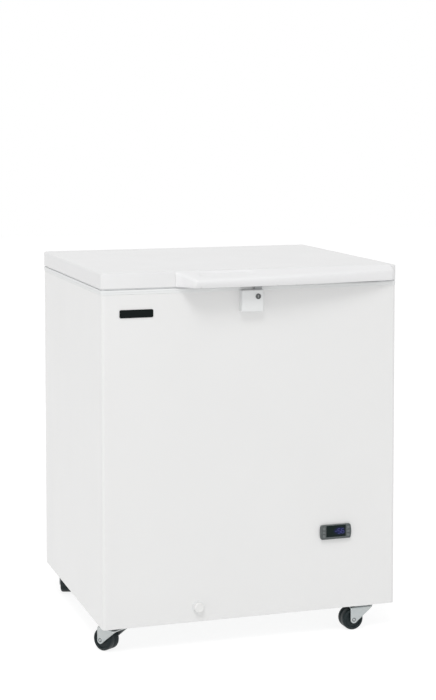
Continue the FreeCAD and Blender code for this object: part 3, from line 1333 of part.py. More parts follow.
def condenser():
    """Finned block between two end plates that stand on the tray."""
    half = CONDENSER_WIDTH / 2
    left, right = FAN_X - half, FAN_X + half
    high = MACHINE_BOTTOM + CONDENSER_HEIGHT
    core = block(left, right, CONDENSER_FRONT + CONDENSER_FIN_DEPTH,
                 CONDENSER_BACK - CONDENSER_FIN_DEPTH, MACHINE_BOTTOM, high)
    pitch = CONDENSER_WIDTH / CONDENSER_FINS
    fins = []
    for i in range(CONDENSER_FINS):
        x = left + pitch * (i + 0.5)
        fins.append(block(x - CONDENSER_FIN_THICK / 2, x + CONDENSER_FIN_THICK / 2,
                          CONDENSER_FRONT + SHEET, CONDENSER_BACK, MACHINE_BOTTOM, high))
    for x in (left - SHEET, right):
        fins.append(block(x, x + SHEET, CONDENSER_FRONT + SEAT_GAP, CONDENSER_BACK, TRAY_TOP, high))
    return joined([core] + fins)


def fan_shroud():
    """Square plate with a ring round the fan and feet on the tray, and the motor's bracket."""
    half = CONDENSER_WIDTH / 2
    inner = FAN_DIAMETER / 2 + FAN_TIP_GAP
    plate = block(FAN_X - half, FAN_X + half, SHROUD_FRONT, SHROUD_BACK, TRAY_TOP,
                  MACHINE_BOTTOM + CONDENSER_HEIGHT)
    ring = rod(inner + SHROUD_SHEET, point(FAN_X, SHROUD_FRONT - SHROUD_RING, FAN_Z),
               point(FAN_X, SHROUD_FRONT, FAN_Z))
    bore = rod(inner, point(FAN_X, SHROUD_FRONT - SHROUD_RING, FAN_Z), point(FAN_X, SHROUD_BACK, FAN_Z))
    shroud = plate.fuse(ring).cut(bore)
    bar_front = MOTOR_BACK - MOTOR_LENGTH / 2
    low, high = FAN_Z - BRACKET_ARM, FAN_Z + BRACKET_ARM
    bars = []
    for side in (-1, 1):
        edge = FAN_X + side * half
        x0, x1 = sorted((edge, edge - side * BRACKET_ARM))
        bars.append(block(x0, x1, bar_front, SHROUD_FRONT, low, high))
        x0, x1 = sorted((FAN_X + side * (MOTOR_DIAMETER / 2 + SEAT_GAP), edge))
        bars.append(block(x0, x1, bar_front, bar_front + BRACKET_SHEET, low, high))
    collar = rod(MOTOR_DIAMETER / 2 + BRACKET_SHEET, point(FAN_X, bar_front, FAN_Z),
                 point(FAN_X, bar_front + BRACKET_COLLAR, FAN_Z))
    collar = collar.cut(rod(MOTOR_DIAMETER / 2 + SEAT_GAP, point(FAN_X, bar_front, FAN_Z),
                            point(FAN_X, bar_front + BRACKET_COLLAR, FAN_Z)))
    return joined([shroud, collar] + bars).cut(bore)


def fan_motor():
    """Motor can with a bore for the fan's shaft."""
    can = rod(MOTOR_DIAMETER / 2, point(FAN_X, MOTOR_BACK - MOTOR_LENGTH, FAN_Z),
              point(FAN_X, MOTOR_BACK, FAN_Z))
    front = [e for e in can.Edges if e.BoundBox.YMax < MOTOR_BACK - MOTOR_LENGTH / 2]
    can = can.makeChamfer(MOTOR_CHAMFER, front)
    bore = rod(SHAFT_DIAMETER / 2 + RUNNING_FIT, point(FAN_X, MOTOR_BACK - MOTOR_LENGTH / 2, FAN_Z),
               point(FAN_X, MOTOR_BACK, FAN_Z))
    return can.cut(bore)


def fan_blade():
    """One twisted blade, lofted from the hub to the tip."""
    wires = []
    root, tip = FAN_HUB / 2 - FAN_BLADE_THICK, FAN_DIAMETER / 2
    for radius, angle, chord in ((root, FAN_ROOT_ANGLE, FAN_ROOT_CHORD),
                                 ((root + tip) / 2, FAN_MIDDLE_ANGLE, FAN_MIDDLE_CHORD),
                                 (tip, FAN_TIP_ANGLE, FAN_TIP_CHORD)):
        half_chord = chord / 2
        turn = math.radians(angle)
        along = point(math.cos(turn), math.sin(turn), 0)
        across = point(-math.sin(turn), math.cos(turn), 0)
        corners = []
        for a, b in ((-1, -1), (1, -1), (1, 1), (-1, 1)):
            offset = along * (a * half_chord) + across * (b * FAN_BLADE_THICK / 2)
            corners.append(point(FAN_X + offset.x, FAN_MIDDLE + offset.y, FAN_Z + radius))
        wires.append(Part.makePolygon(corners + [corners[0]]))
    return Part.makeLoft(wires, True, True)


def fan_blades():
    """Axial fan: hub, twisted blades and its shaft."""
    half = FAN_HUB_LENGTH / 2
    hub = rod(FAN_HUB / 2, point(FAN_X, FAN_MIDDLE - half, FAN_Z), point(FAN_X, FAN_MIDDLE + half, FAN_Z))
    shaft = rod(SHAFT_DIAMETER / 2, point(FAN_X, MOTOR_BACK - MOTOR_LENGTH / 3, FAN_Z),
                point(FAN_X, FAN_MIDDLE, FAN_Z))
    blades = []
    for i in range(FAN_BLADES):
        blade = fan_blade()
        blade.rotate(point(FAN_X, FAN_MIDDLE, FAN_Z), point(0, 1, 0), 360.0 * i / FAN_BLADES)
        blades.append(blade)
    return joined([hub, shaft] + blades)


def bent_pipe(points, radius, bend):
    """Round pipe along straight runs with equal bends between them."""
    pieces = []
    start = points[0]
    for before, corner, after in zip(points, points[1:], points[2:]):
        inward = before.sub(corner).normalize()
        outward = after.sub(corner).normalize()
        enter = corner.add(inward * bend)
        leave = corner.add(outward * bend)
        pieces.append(rod(radius, start, enter))
        centre = enter.add(outward * bend)
        axis = (inward * -1.0).cross(outward)
        disc = Part.Face(Part.Wire(Part.makeCircle(radius, enter, inward)))
        pieces.append(disc.revolve(centre, axis, 90))
        start = leave
    pieces.append(rod(radius, start, points[-1]))
    return joined(pieces)


def refrigerant_pipes():
    """Discharge pipe to the condenser and suction pipe from the bulkhead's roof."""
    radius = PIPE_DIAMETER / 2
    pot = COMPRESSOR_DIAMETER / 2 - COMPRESSOR_FLANGE
    level = POT_BOTTOM + PIPE_LEVEL
    header = FAN_X + CONDENSER_WIDTH / 2 + SHEET
    right = header + PIPE_BEND + SHEET
    reach = pot + SEAT_GAP
    discharge = bent_pipe([point(FAN_X + reach, COMPRESSOR_Y, level),
                           point(right, COMPRESSOR_Y, level),
                           point(right, CONDENSER_FRONT + CONDENSER_DEPTH / 2, level),
                           point(header, CONDENSER_FRONT + CONDENSER_DEPTH / 2, level)],
                          radius, PIPE_BEND)
    left = COMPARTMENT_LEFT + PIPE_SIDE_GAP
    suction = bent_pipe([point(FAN_X - reach, COMPRESSOR_Y, level), point(left, COMPRESSOR_Y, level),
                         point(left, COMPRESSOR_Y, COMPARTMENT_TOP)], radius, PIPE_BEND)
    return group([discharge, suction])


def write(name, shape):
    if not shape.isValid():
        print("not valid:", name)
    shape.exportStep("parts/%s.step" % name)


def main():
    os.makedirs("parts", exist_ok=True)
    pieces = {
        "outer_wrap": outer_wrap(), "back_panel": back_panel(), "base_tray": base_tray(),
        "top_rim": top_rim(), "inner_liner": inner_liner(), "insulation_foam": insulation_foam(),
        "evaporator_coil": evaporator(0), "compartment_bulkhead": compartment_bulkhead(),
        "rear_cover": rear_cover(), "cover_screws": cover_screws(), "side_grille": side_grille(),
        "power_inlet": power_inlet(), "drain_tube": drain_tube(), "drain_bushing": drain_bushing(),
        "drain_plug": drain_plug(), "nameplate": nameplate(), "lock_housing": lock_housing(),
        "lock_barrel": lock_barrel(), "lock_cam": lock_cam(), "controller_bezel": controller_bezel(),
        "controller_body": controller_body(), "display_window": display_window(),
        "hinge_bases": hinge_bases(), "hinge_pins": hinge_pins(), "castor_plates": castor_plates(),
        "compressor": compressor(), "compressor_feet": compressor_feet(),
        "compressor_bars": compressor_bars(), "terminal_box": terminal_box(),
        "condenser": condenser(), "fan_shroud": fan_shroud(), "fan_motor": fan_motor(),
        "fan_blades": fan_blades(), "refrigerant_pipes": refrigerant_pipes(),
        "lid_pan": lid_pan(), "lid_inner_panel": lid_inner_panel(), "lid_foam": lid_foam(),
        "lid_gasket": lid_gasket(), "lid_handle": lid_handle(), "lock_hasp": lock_hasp(),
        "hinge_arms": hinge_arms(),
    }
    for number, place in enumerate(key_places(), start=1):
        pieces["controller_key_%d" % number] = controller_key(place)
    for corner in CASTOR_HEADING:
        pieces["castor_fork_" + corner] = set_in_place(castor_fork(), corner)
        pieces["castor_axle_" + corner] = set_in_place(castor_axle(), corner)
        pieces["castor_wheel_" + corner] = set_in_place(castor_wheel(), corner)
    for name, shape in pieces.items():
        write(name, shape)


main()
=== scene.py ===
"""Looks of a small laboratory chest freezer on castors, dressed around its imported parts.

Each sub-assembly is a class that holds its sizes and builds its meshes from surfaces worked
out with numpy. Each finish is a frozen dataclass that writes one procedural material.
Lengths are metres in the frame's own axes: +Z up, -Y the front.
"""

import json
import logging
import math
from dataclasses import dataclass
from enum import Enum

import bmesh
import bpy
import numpy as np
from mathutils import Matrix, Vector

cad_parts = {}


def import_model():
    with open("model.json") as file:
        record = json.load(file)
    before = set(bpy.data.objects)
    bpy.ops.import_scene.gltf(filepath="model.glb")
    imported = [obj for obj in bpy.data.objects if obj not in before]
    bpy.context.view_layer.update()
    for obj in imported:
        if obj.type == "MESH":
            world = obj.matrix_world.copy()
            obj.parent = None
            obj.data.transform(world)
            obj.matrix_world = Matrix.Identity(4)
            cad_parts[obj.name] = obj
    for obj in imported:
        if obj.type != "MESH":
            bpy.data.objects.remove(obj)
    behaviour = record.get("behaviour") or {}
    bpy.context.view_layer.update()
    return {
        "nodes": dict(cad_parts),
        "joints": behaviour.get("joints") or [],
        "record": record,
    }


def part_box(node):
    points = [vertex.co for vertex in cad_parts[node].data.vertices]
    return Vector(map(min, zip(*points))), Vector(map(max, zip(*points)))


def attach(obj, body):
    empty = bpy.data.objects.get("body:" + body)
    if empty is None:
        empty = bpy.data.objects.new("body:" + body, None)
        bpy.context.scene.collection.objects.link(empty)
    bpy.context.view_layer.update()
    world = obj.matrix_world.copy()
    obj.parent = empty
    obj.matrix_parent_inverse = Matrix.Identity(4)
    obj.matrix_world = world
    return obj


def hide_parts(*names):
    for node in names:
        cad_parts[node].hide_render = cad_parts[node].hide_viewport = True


log = logging.getLogger("freezer")
MM = 0.001
RIGHT_ANGLE = math.pi / 2
SMOOTH_LIMIT = math.radians(38)
Array = np.ndarray
Pair = tuple[float, float]
Triple = tuple[float, float, float]


class Sock:
    """One output socket, with arithmetic that adds Math nodes to its tree."""

    def __init__(self, tree: "Tree", socket: bpy.types.NodeSocket) -> None:
        """Keeps the tree and the socket."""
        self.tree = tree
        self.socket = socket

    def math(self, operation: str, *others: "Sock | float") -> "Sock":
        """Adds one Math node with this socket as its first value.

        Args:
            operation: the Math node's operation.
            others: the further values or sockets.

        Returns:
            The node's output.
        """
        return self.tree.node("ShaderNodeMath", {"operation": operation}, dict(enumerate((self, *others))))

    def __add__(self, other: "Sock | float") -> "Sock":
        """Sum."""
        return self.math("ADD", other)

    def __radd__(self, other: float) -> "Sock":
        """Sum with a number first."""
        return self.math("ADD", other)

    def __sub__(self, other: "Sock | float") -> "Sock":
        """Difference."""
        return self.math("SUBTRACT", other)

    def __rsub__(self, other: float) -> "Sock":
        """Difference from a number."""
        return self.tree.node("ShaderNodeMath", {"operation": "SUBTRACT"}, {0: other, 1: self})

    def __mul__(self, other: "Sock | float") -> "Sock":
        """Product."""
        return self.math("MULTIPLY", other)

    def __rmul__(self, other: float) -> "Sock":
        """Product with a number first."""
        return self.math("MULTIPLY", other)

    def ramp(self, low: float, high: float) -> "Sock":
        """Smooth step from 0 at low to 1 at high."""
        values = {"Value": self, "From Min": low, "From Max": high}
        return self.tree.node("ShaderNodeMapRange", {"interpolation_type": "SMOOTHSTEP"}, values)


class Tree:
    """The nodes of one material or world."""

    def __init__(self, owner: bpy.types.Material | bpy.types.World) -> None:
        """Clears the owner's nodes.

        Args:
            owner: the material or world to write.
        """
        owner.use_nodes = True
        self.owner = owner
        self.nodes = owner.node_tree.nodes
        self.links = owner.node_tree.links
        self.nodes.clear()

    def node(self, kind: str, settings: dict, values: dict, out: int | str = 0) -> Sock:
        """Adds any one node.

        Args:
            kind: the node's type.
            settings: properties, set first.
            values: a number or a Sock for each named or numbered input.
            out: the output to return.

        Returns:
            That output.
        """
        made = self.nodes.new(kind)
        for name, value in settings.items():
            setattr(made, name, value)
        for name, value in values.items():
            if isinstance(value, Sock):
                self.links.new(value.socket, made.inputs[name])
            else:
                made.inputs[name].default_value = value
        return Sock(self, made.outputs[out])

    def mix(self, factor: Sock | float, first: "Sock | Triple", second: "Sock | Triple") -> Sock:
        """Mixes two colours.

        Args:
            factor: 0 gives the first colour, 1 the second.
            first: a colour or a socket.
            second: a colour or a socket.

        Returns:
            The mixed colour.
        """
        def full(colour: "Sock | Triple") -> "Sock | tuple":
            """A colour with its alpha, or the socket as it is."""
            return colour if isinstance(colour, Sock) else (*colour, 1.0)

        values = {0: factor, 6: full(first), 7: full(second)}
        return self.node("ShaderNodeMix", {"data_type": "RGBA"}, values, 2)

    def position(self, scale: Triple = (1.0, 1.0, 1.0)) -> Sock:
        """Object coordinates, stretched by a scale along each axis."""
        place = self.node("ShaderNodeTexCoord", {}, {}, "Object")
        return self.node("ShaderNodeMapping", {}, {"Vector": place, "Scale": scale})

    def noise(self, scale: float, detail: float = 3.0, vector: Sock | None = None,
              rough: float = 0.5) -> Sock:
        """Fractal noise.

        Args:
            scale: waves a metre.
            detail: finer octaves.
            vector: where it is read, object coordinates if None.
            rough: strength of the finer octaves.

        Returns:
            Values between 0 and 1.
        """
        values = {"Vector": vector or self.position(), "Scale": scale, "Detail": detail, "Roughness": rough}
        return self.node("ShaderNodeTexNoise", {}, values)

    def edge(self, radius: float) -> Sock:
        """How sharp the edge close by is: 1 less the dot of the true and the softened normal.

        Args:
            radius: how far the normal is softened.

        Returns:
            0 on flat faces, towards 1 on an outer or inner edge.
        """
        soft = self.node("ShaderNodeBevel", {"samples": 6}, {"Radius": radius})
        true = self.node("ShaderNodeNewGeometry", {}, {}, "Normal")
        same = self.node("ShaderNodeVectorMath", {"operation": "DOT_PRODUCT"}, {0: soft, 1: true}, 1)
        return (1.0 - same).ramp(0.02, 0.3)

    def bump(self, height: Sock, depth: float, rounding: float = 0.0) -> Sock:
        """Bump from a height, over edges softened by a small rounding.

        Args:
            height: the surface's height.
            depth: metres for a height of 1.
            rounding: radius of the softened edges, 0 for none.

        Returns:
            The normal.
        """
        values = {"Height": height, "Distance": depth, "Strength": 1.0}
        if rounding > 0:
            values["Normal"] = self.node("ShaderNodeBevel", {"samples": 6}, {"Radius": rounding})
        return self.node("ShaderNodeBump", {}, values)

    def close(self, shader: Sock, kind: str = "ShaderNodeOutputMaterial") -> None:
        """Links a shader to the surface of a new output node."""
        self.links.new(shader.socket, self.nodes.new(kind).inputs["Surface"])


@dataclass(frozen=True)
class Finish:
    """A plain finish: a base colour with slight drifts in tone, gloss and surface."""

    name: str
    colour: Triple
    roughness: float
    metallic: float = 0.0
    drift: float = 0.015
    gloss_drift: float = 0.06
    grain_scale: float = 350.0
    grain_depth: float = 0.00003
    rounding: float = 0.0006
    coat: float = 0.0
    specular: float = 0.5
    # how far edges take worn_and_highlight_colour: wear, and on the zinc parts a painted edge highlight as
    # well
    wear_and_highlight: float = 0.0
    worn_and_highlight_colour: Triple = (0.8, 0.8, 0.8)
    cloud_scale: float = 5.0
    scratch_scale: float = 90.0
    wipe_scale: float = 14.0
    worn_edge: float = 0.0012

    def tone(self, tree: Tree) -> Sock:
        """The base colour with a slow drift and lighter worn edges.

        Args:
            tree: the material's nodes.

        Returns:
            The colour.
        """
        cloud = tree.noise(self.cloud_scale, 2.0)
        dark = tuple(c * (1 - self.drift) for c in self.colour)
        light = tuple(min(c * (1 + self.drift), 1.0) for c in self.colour)
        colour = tree.mix(cloud, dark, light)
        if self.wear_and_highlight <= 0:
            return colour
        scratch = tree.noise(self.scratch_scale, 4.0).ramp(0.42, 0.62)
        return tree.mix(tree.edge(self.worn_edge) * scratch * self.wear_and_highlight, colour, self.worn_and_highlight_colour)

    def gloss(self, tree: Tree) -> Sock:
        """Roughness with faint wipe marks."""
        marks = tree.noise(self.wipe_scale, 4.0, tree.position((1.0, 1.0, 0.35)))
        return (marks - 0.5) * (2 * self.gloss_drift) + self.roughness

    def height(self, tree: Tree) -> Sock:
        """Height of the fine surface texture."""
        return tree.noise(self.grain_scale, 2.0)

    def constants(self) -> dict:
        """Values that are the same all over the surface."""
        return {"Metallic": self.metallic, "Coat Weight": self.coat, "Coat Roughness": 0.08,
                "Specular IOR Level": self.specular}

    def material(self) -> bpy.types.Material:
        """Writes the material.

        Returns:
            The material, ready to assign.
        """
        tree = Tree(bpy.data.materials.new(self.name))
        normal = tree.bump(self.height(tree), self.grain_depth, self.rounding)
        values = {**self.constants(), "Base Color": self.tone(tree), "Roughness": self.gloss(tree),
                  "Normal": normal}
        tree.close(tree.node("ShaderNodeBsdfPrincipled", {}, values))
        return tree.owner


@dataclass(frozen=True)
class Enamel(Finish):
    """Baked white enamel on sheet: a faint orange peel under long slow waves."""

    wave_scale: float = 2.2
    wave_share: float = 6.0

    def height(self, tree: Tree) -> Sock:
        """Orange peel, plus the slight waves of a foam-backed sheet."""
        return tree.noise(self.grain_scale, 1.0) + tree.noise(self.wave_scale, 1.0) * self.wave_share


@dataclass(frozen=True)
class Zinc(Finish):
    """Zinc plate: bluish bright metal with soft crystals, dull wiped patches, and lighter edges that are
    partly wear and partly a painted highlight.
    """

    cool: Triple = (0.55, 0.62, 0.68)

    def tone(self, tree: Tree) -> Sock:
        """Crystals of two close tones with a cool drift, and every edge lightened: worn plating plus a
        painted highlight.

        Args:
            tree: the material's nodes.

        Returns:
            The colour.
        """
        cell = tree.node("ShaderNodeTexVoronoi", {}, {"Vector": tree.position(), "Scale": 260.0}, "Color")
        grey = tree.node("ShaderNodeSeparateColor", {}, {"Color": cell}, 0)
        patch = tree.noise(22.0, 3.0).ramp(0.35, 0.7)
        plain = tree.mix(grey * 0.35 + patch * 0.5, self.colour, self.cool)
        # every edge lightened evenly: a painted highlight along the edges, with some real wear
        return tree.mix(tree.edge(0.001) * self.wear_and_highlight, plain, self.worn_and_highlight_colour)


@dataclass(frozen=True)
class Brushed(Finish):
    """Metal drawn or brushed along one axis."""

    stretch: Triple = (1.0, 1.0, 0.03)

    def height(self, tree: Tree) -> Sock:
        """Fine lines along the brushed axis."""
        return tree.noise(self.grain_scale, 3.0, tree.position(self.stretch))

    def gloss(self, tree: Tree) -> Sock:
        """Roughness that follows the lines."""
        lines = tree.noise(self.grain_scale * 0.5, 3.0, tree.position(self.stretch))
        return (lines - 0.5) * (2 * self.gloss_drift) + self.roughness


@dataclass(frozen=True)
class Tyre(Finish):
    """Moulded black tread: satin, with dust where it has rolled."""

    dust: Triple = (0.20, 0.21, 0.21)

    def tone(self, tree: Tree) -> Sock:
        """Black with a teal cast and grey dust in patches."""
        patch = tree.noise(60.0, 5.0, rough=0.7).ramp(0.52, 0.75)
        return tree.mix(patch * 0.12, self.colour, self.dust)


@dataclass(frozen=True)
class CutFoam(Finish):
    """Rigid foam: pale cells with tiny pits."""

    def height(self, tree: Tree) -> Sock:
        """Pits between cells."""
        return tree.node("ShaderNodeTexVoronoi", {}, {"Vector": tree.position(), "Scale": 900.0}, "Distance")


@dataclass(frozen=True)
class Smoked(Finish):
    """Dark polished window, with the blue light of the lit digits painted round them as a glow."""

    # colour of the painted glow that the digits cast on the window
    glow: Triple = (0.010, 0.014, 0.060)
    painted_glow_middle: Triple = (0.215, -0.305, 0.248)
    painted_glow_size: Triple = (60.0, 1.0, 95.0)

    def tone(self, tree: Tree) -> Sock:
        """Near black, with a painted blue glow inside an oval round the digits.

        Args:
            tree: the material's nodes.

        Returns:
            The colour.
        """
        away = tuple(-m * s for m, s in zip(self.painted_glow_middle, self.painted_glow_size))
        place = tree.node("ShaderNodeTexCoord", {}, {}, "Object")
        values = {"Vector": place, "Location": away, "Scale": self.painted_glow_size}
        oval = tree.node("ShaderNodeMapping", {}, values)
        far = tree.node("ShaderNodeVectorMath", {"operation": "LENGTH"}, {0: oval}, 1)
        # the blue oval is painted light from the digits
        return tree.mix(1.0 - far.ramp(0.35, 1.1), self.colour, self.glow)


@dataclass(frozen=True)
class Lit(Finish):
    """Dim lit segments of the display."""

    glow: Triple = (0.07, 0.08, 0.50)

    def constants(self) -> dict:
        """Plain values with a weak emission."""
        return {"Metallic": 0.0, "Emission Color": (*self.glow, 1.0), "Emission Strength": 0.25}


def finishes() -> dict[str, Finish]:
    """Every finish by the record's material slot.

    Returns:
        The slot's name and its finish.
    """
    made = [
        Enamel("white_sheet", (0.800, 0.800, 0.795), 0.32, coat=0.25),
        Enamel("lid_white", (0.780, 0.780, 0.782), 0.34, coat=0.15, rounding=0.0),
        Enamel("hinge_steel", (0.78, 0.78, 0.78), 0.35, wear_and_highlight=0.25, worn_and_highlight_colour=(0.55, 0.55, 0.55)),
        Finish("handle_white", (0.825, 0.825, 0.830), 0.36, rounding=0.0, grain_scale=700.0),
        Finish("white_moulding", (0.79, 0.80, 0.80), 0.38, grain_scale=900.0),
        Finish("liner", (0.80, 0.81, 0.81), 0.36, grain_scale=500.0, rounding=0.003),
        Finish("pale_plastic", (0.80, 0.80, 0.79), 0.42, grain_scale=900.0),
        # the zinc parts' lighter edges are a painted highlight as well as wear
        Zinc("zinc_fork", (0.52, 0.54, 0.535), 0.34, metallic=0.75, wear_and_highlight=0.6, gloss_drift=0.12,
             worn_and_highlight_colour=(0.70, 0.71, 0.71), cool=(0.45, 0.495, 0.505)),
        Zinc("zinc_sheet", (0.54, 0.55, 0.55), 0.36, metallic=0.85, wear_and_highlight=0.3, gloss_drift=0.12,
             worn_and_highlight_colour=(0.75, 0.76, 0.76), cool=(0.48, 0.51, 0.52)),
        Brushed("bright_steel", (0.52, 0.54, 0.55), 0.28, metallic=1.0, grain_scale=900.0),
        Finish("chrome", (0.115, 0.12, 0.12), 0.30, metallic=1.0, gloss_drift=0.05),
        Brushed("hasp_steel", (0.40, 0.41, 0.42), 0.45, metallic=0.3),
        Finish("dull_steel", (0.20, 0.22, 0.22), 0.5, metallic=0.5),
        Brushed("aluminium_tube", (0.66, 0.67, 0.68), 0.33, metallic=1.0, stretch=(0.05, 0.05, 1.0)),
        Brushed("fin_stock", (0.62, 0.63, 0.64), 0.30, metallic=1.0),
        CutFoam("foam", (0.80, 0.72, 0.50), 0.85, grain_depth=0.0004, rounding=0.0),
        Finish("black_plastic", (0.022, 0.022, 0.024), 0.48, grain_scale=1400.0, grain_depth=0.00006,
               wear_and_highlight=0.2, worn_and_highlight_colour=(0.09, 0.09, 0.09)),
        Finish("black_plate", (0.003, 0.006, 0.006), 0.30, specular=0.09, wear_and_highlight=0.15,
               worn_and_highlight_colour=(0.12, 0.12, 0.12)),
        Finish("grey_bezel", (0.092, 0.105, 0.105), 0.42, grain_scale=1500.0, grain_depth=0.00005,
               specular=0.35, wear_and_highlight=0.3, worn_and_highlight_colour=(0.20, 0.22, 0.22)),
        Finish("key_rubber", (0.135, 0.15, 0.15), 0.5, grain_scale=1800.0, rounding=0.0, wear_and_highlight=1.6,
               worn_and_highlight_colour=(0.42, 0.45, 0.45)),
        Smoked("smoked_window", (0.005, 0.012, 0.011), 0.14, specular=0.12, rounding=0.0),
        Lit("lit_segment", (0.02, 0.02, 0.08), 0.3, rounding=0.0),
        Finish("gasket_rubber", (0.80, 0.81, 0.82), 0.6, grain_scale=800.0, rounding=0.0),
        Finish("black_rubber", (0.025, 0.025, 0.025), 0.62, grain_scale=600.0, grain_depth=0.0001),
        Tyre("black_tyre", (0.008, 0.016, 0.018), 0.45, grain_scale=500.0, grain_depth=0.00006,
             specular=0.25, rounding=0.0),
        Enamel("black_enamel", (0.012, 0.012, 0.013), 0.28, coat=0.3),
        Finish("motor_can", (0.20, 0.21, 0.22), 0.4, metallic=0.6),
        Brushed("copper", (0.72, 0.37, 0.22), 0.28, metallic=1.0, grain_scale=700.0),
    ]
    return {finish.name: finish for finish in made}


class Palette:
    """Writes each finish once and hands out its material."""

    def __init__(self) -> None:
        """Starts with no material written."""
        self.finishes = finishes()
        self.made: dict[str, bpy.types.Material] = {}

    def get(self, slot: str) -> bpy.types.Material:
        """The material of a slot."""
        if slot not in self.made:
            self.made[slot] = self.finishes[slot].material()
        return self.made[slot]

    def dress(self, obj: bpy.types.Object, slot: str) -> None:
        """Gives an object one material in place of what it has."""
        obj.data.materials.clear()
        obj.data.materials.append(self.get(slot))


@dataclass(frozen=True)
class Outline:
    """A closed outline in plan, anticlockwise, with its outward directions."""

    points: Array
    outward: Array

    @classmethod
    def rounded(cls, corners: list[Pair], radius: float, steps: int) -> "Outline":
        """A convex polygon with an arc at each corner.

        An arc is its centre plus the radius times a direction that turns evenly from the outward
        direction of one side to that of the next. The centre lies on the corner's bisector.

        Args:
            corners: corner points, anticlockwise.
            radius: the arcs' radius.
            steps: points along each arc.

        Returns:
            The outline.
        """
        places = np.array(corners, float)
        side = places - np.roll(places, 1, 0)
        side /= np.linalg.norm(side, axis=1, keepdims=True)
        after = np.roll(side, -1, 0)
        turn = np.arctan2(side[:, 0] * after[:, 1] - side[:, 1] * after[:, 0], (side * after).sum(1))
        start = np.arctan2(-side[:, 0], side[:, 1])
        angle = start[:, None] + turn[:, None] * np.linspace(0.0, 1.0, steps)
        outward = np.stack([np.cos(angle), np.sin(angle)], -1)
        centre = places + (after - side) * (radius * np.tan(turn / 2) / np.sin(turn))[:, None]
        return cls((centre[:, None] + radius * outward).reshape(-1, 2), outward.reshape(-1, 2))

    @classmethod
    def box(cls, x0: float, x1: float, y0: float, y1: float, radius: float, steps: int) -> "Outline":
        """A rectangle with one corner radius, starting at its low corner."""
        return cls.rounded([(x0, y0), (x1, y0), (x1, y1), (x0, y1)], radius, steps)

    def ring(self, insets: Array, heights: Array) -> Array:
        """Carries a profile round the outline.

        A point is the outline's point less its outward direction times the inset, at the
        profile's height.

        Args:
            insets: one inset a profile point, or one for each profile and outline point.
            heights: one height a profile point.

        Returns:
            Points of shape (profile, outline, 3).
        """
        inset = np.broadcast_to(np.reshape(insets, (len(heights), -1)), (len(heights), len(self.points)))
        flat = self.points[None] - self.outward[None] * inset[..., None]
        high = np.broadcast_to(np.reshape(heights, (-1, 1, 1)), (*inset.shape, 1))
        return np.concatenate([flat, high], 2)


class Cap(Enum):
    """How the ends of a grid are closed: a face at both, or the last row joined to the first."""

    BOTH = 1
    JOINED = 2


def arc(centre: Pair, radius: float, start: float, end: float, steps: int) -> Array:
    """Points of a circular arc: centre plus radius times cosine and sine of evenly spread angles.

    Args:
        centre: the arc's centre.
        radius: its radius.
        start: first angle in degrees.
        end: last angle in degrees.
        steps: how many points.

    Returns:
        Points of shape (steps, 2).
    """
    angle = np.radians(np.linspace(start, end, steps))
    return np.stack([centre[0] + radius * np.cos(angle), centre[1] + radius * np.sin(angle)], 1)


def smooth(t: Array) -> Array:
    """Smooth rise from 0 to 1: 3 t squared less 2 t cubed, with t held between 0 and 1."""
    held = np.clip(t, 0.0, 1.0)
    return held * held * (3.0 - 2.0 * held)


def bezier(start: Array, middle: Array, end: Array, t: Array) -> Array:
    """Quadratic curve: the three values weighted by (1 - t) squared, 2 t (1 - t) and t squared."""
    return (1 - t) ** 2 * start + 2 * t * (1 - t) * middle + t ** 2 * end


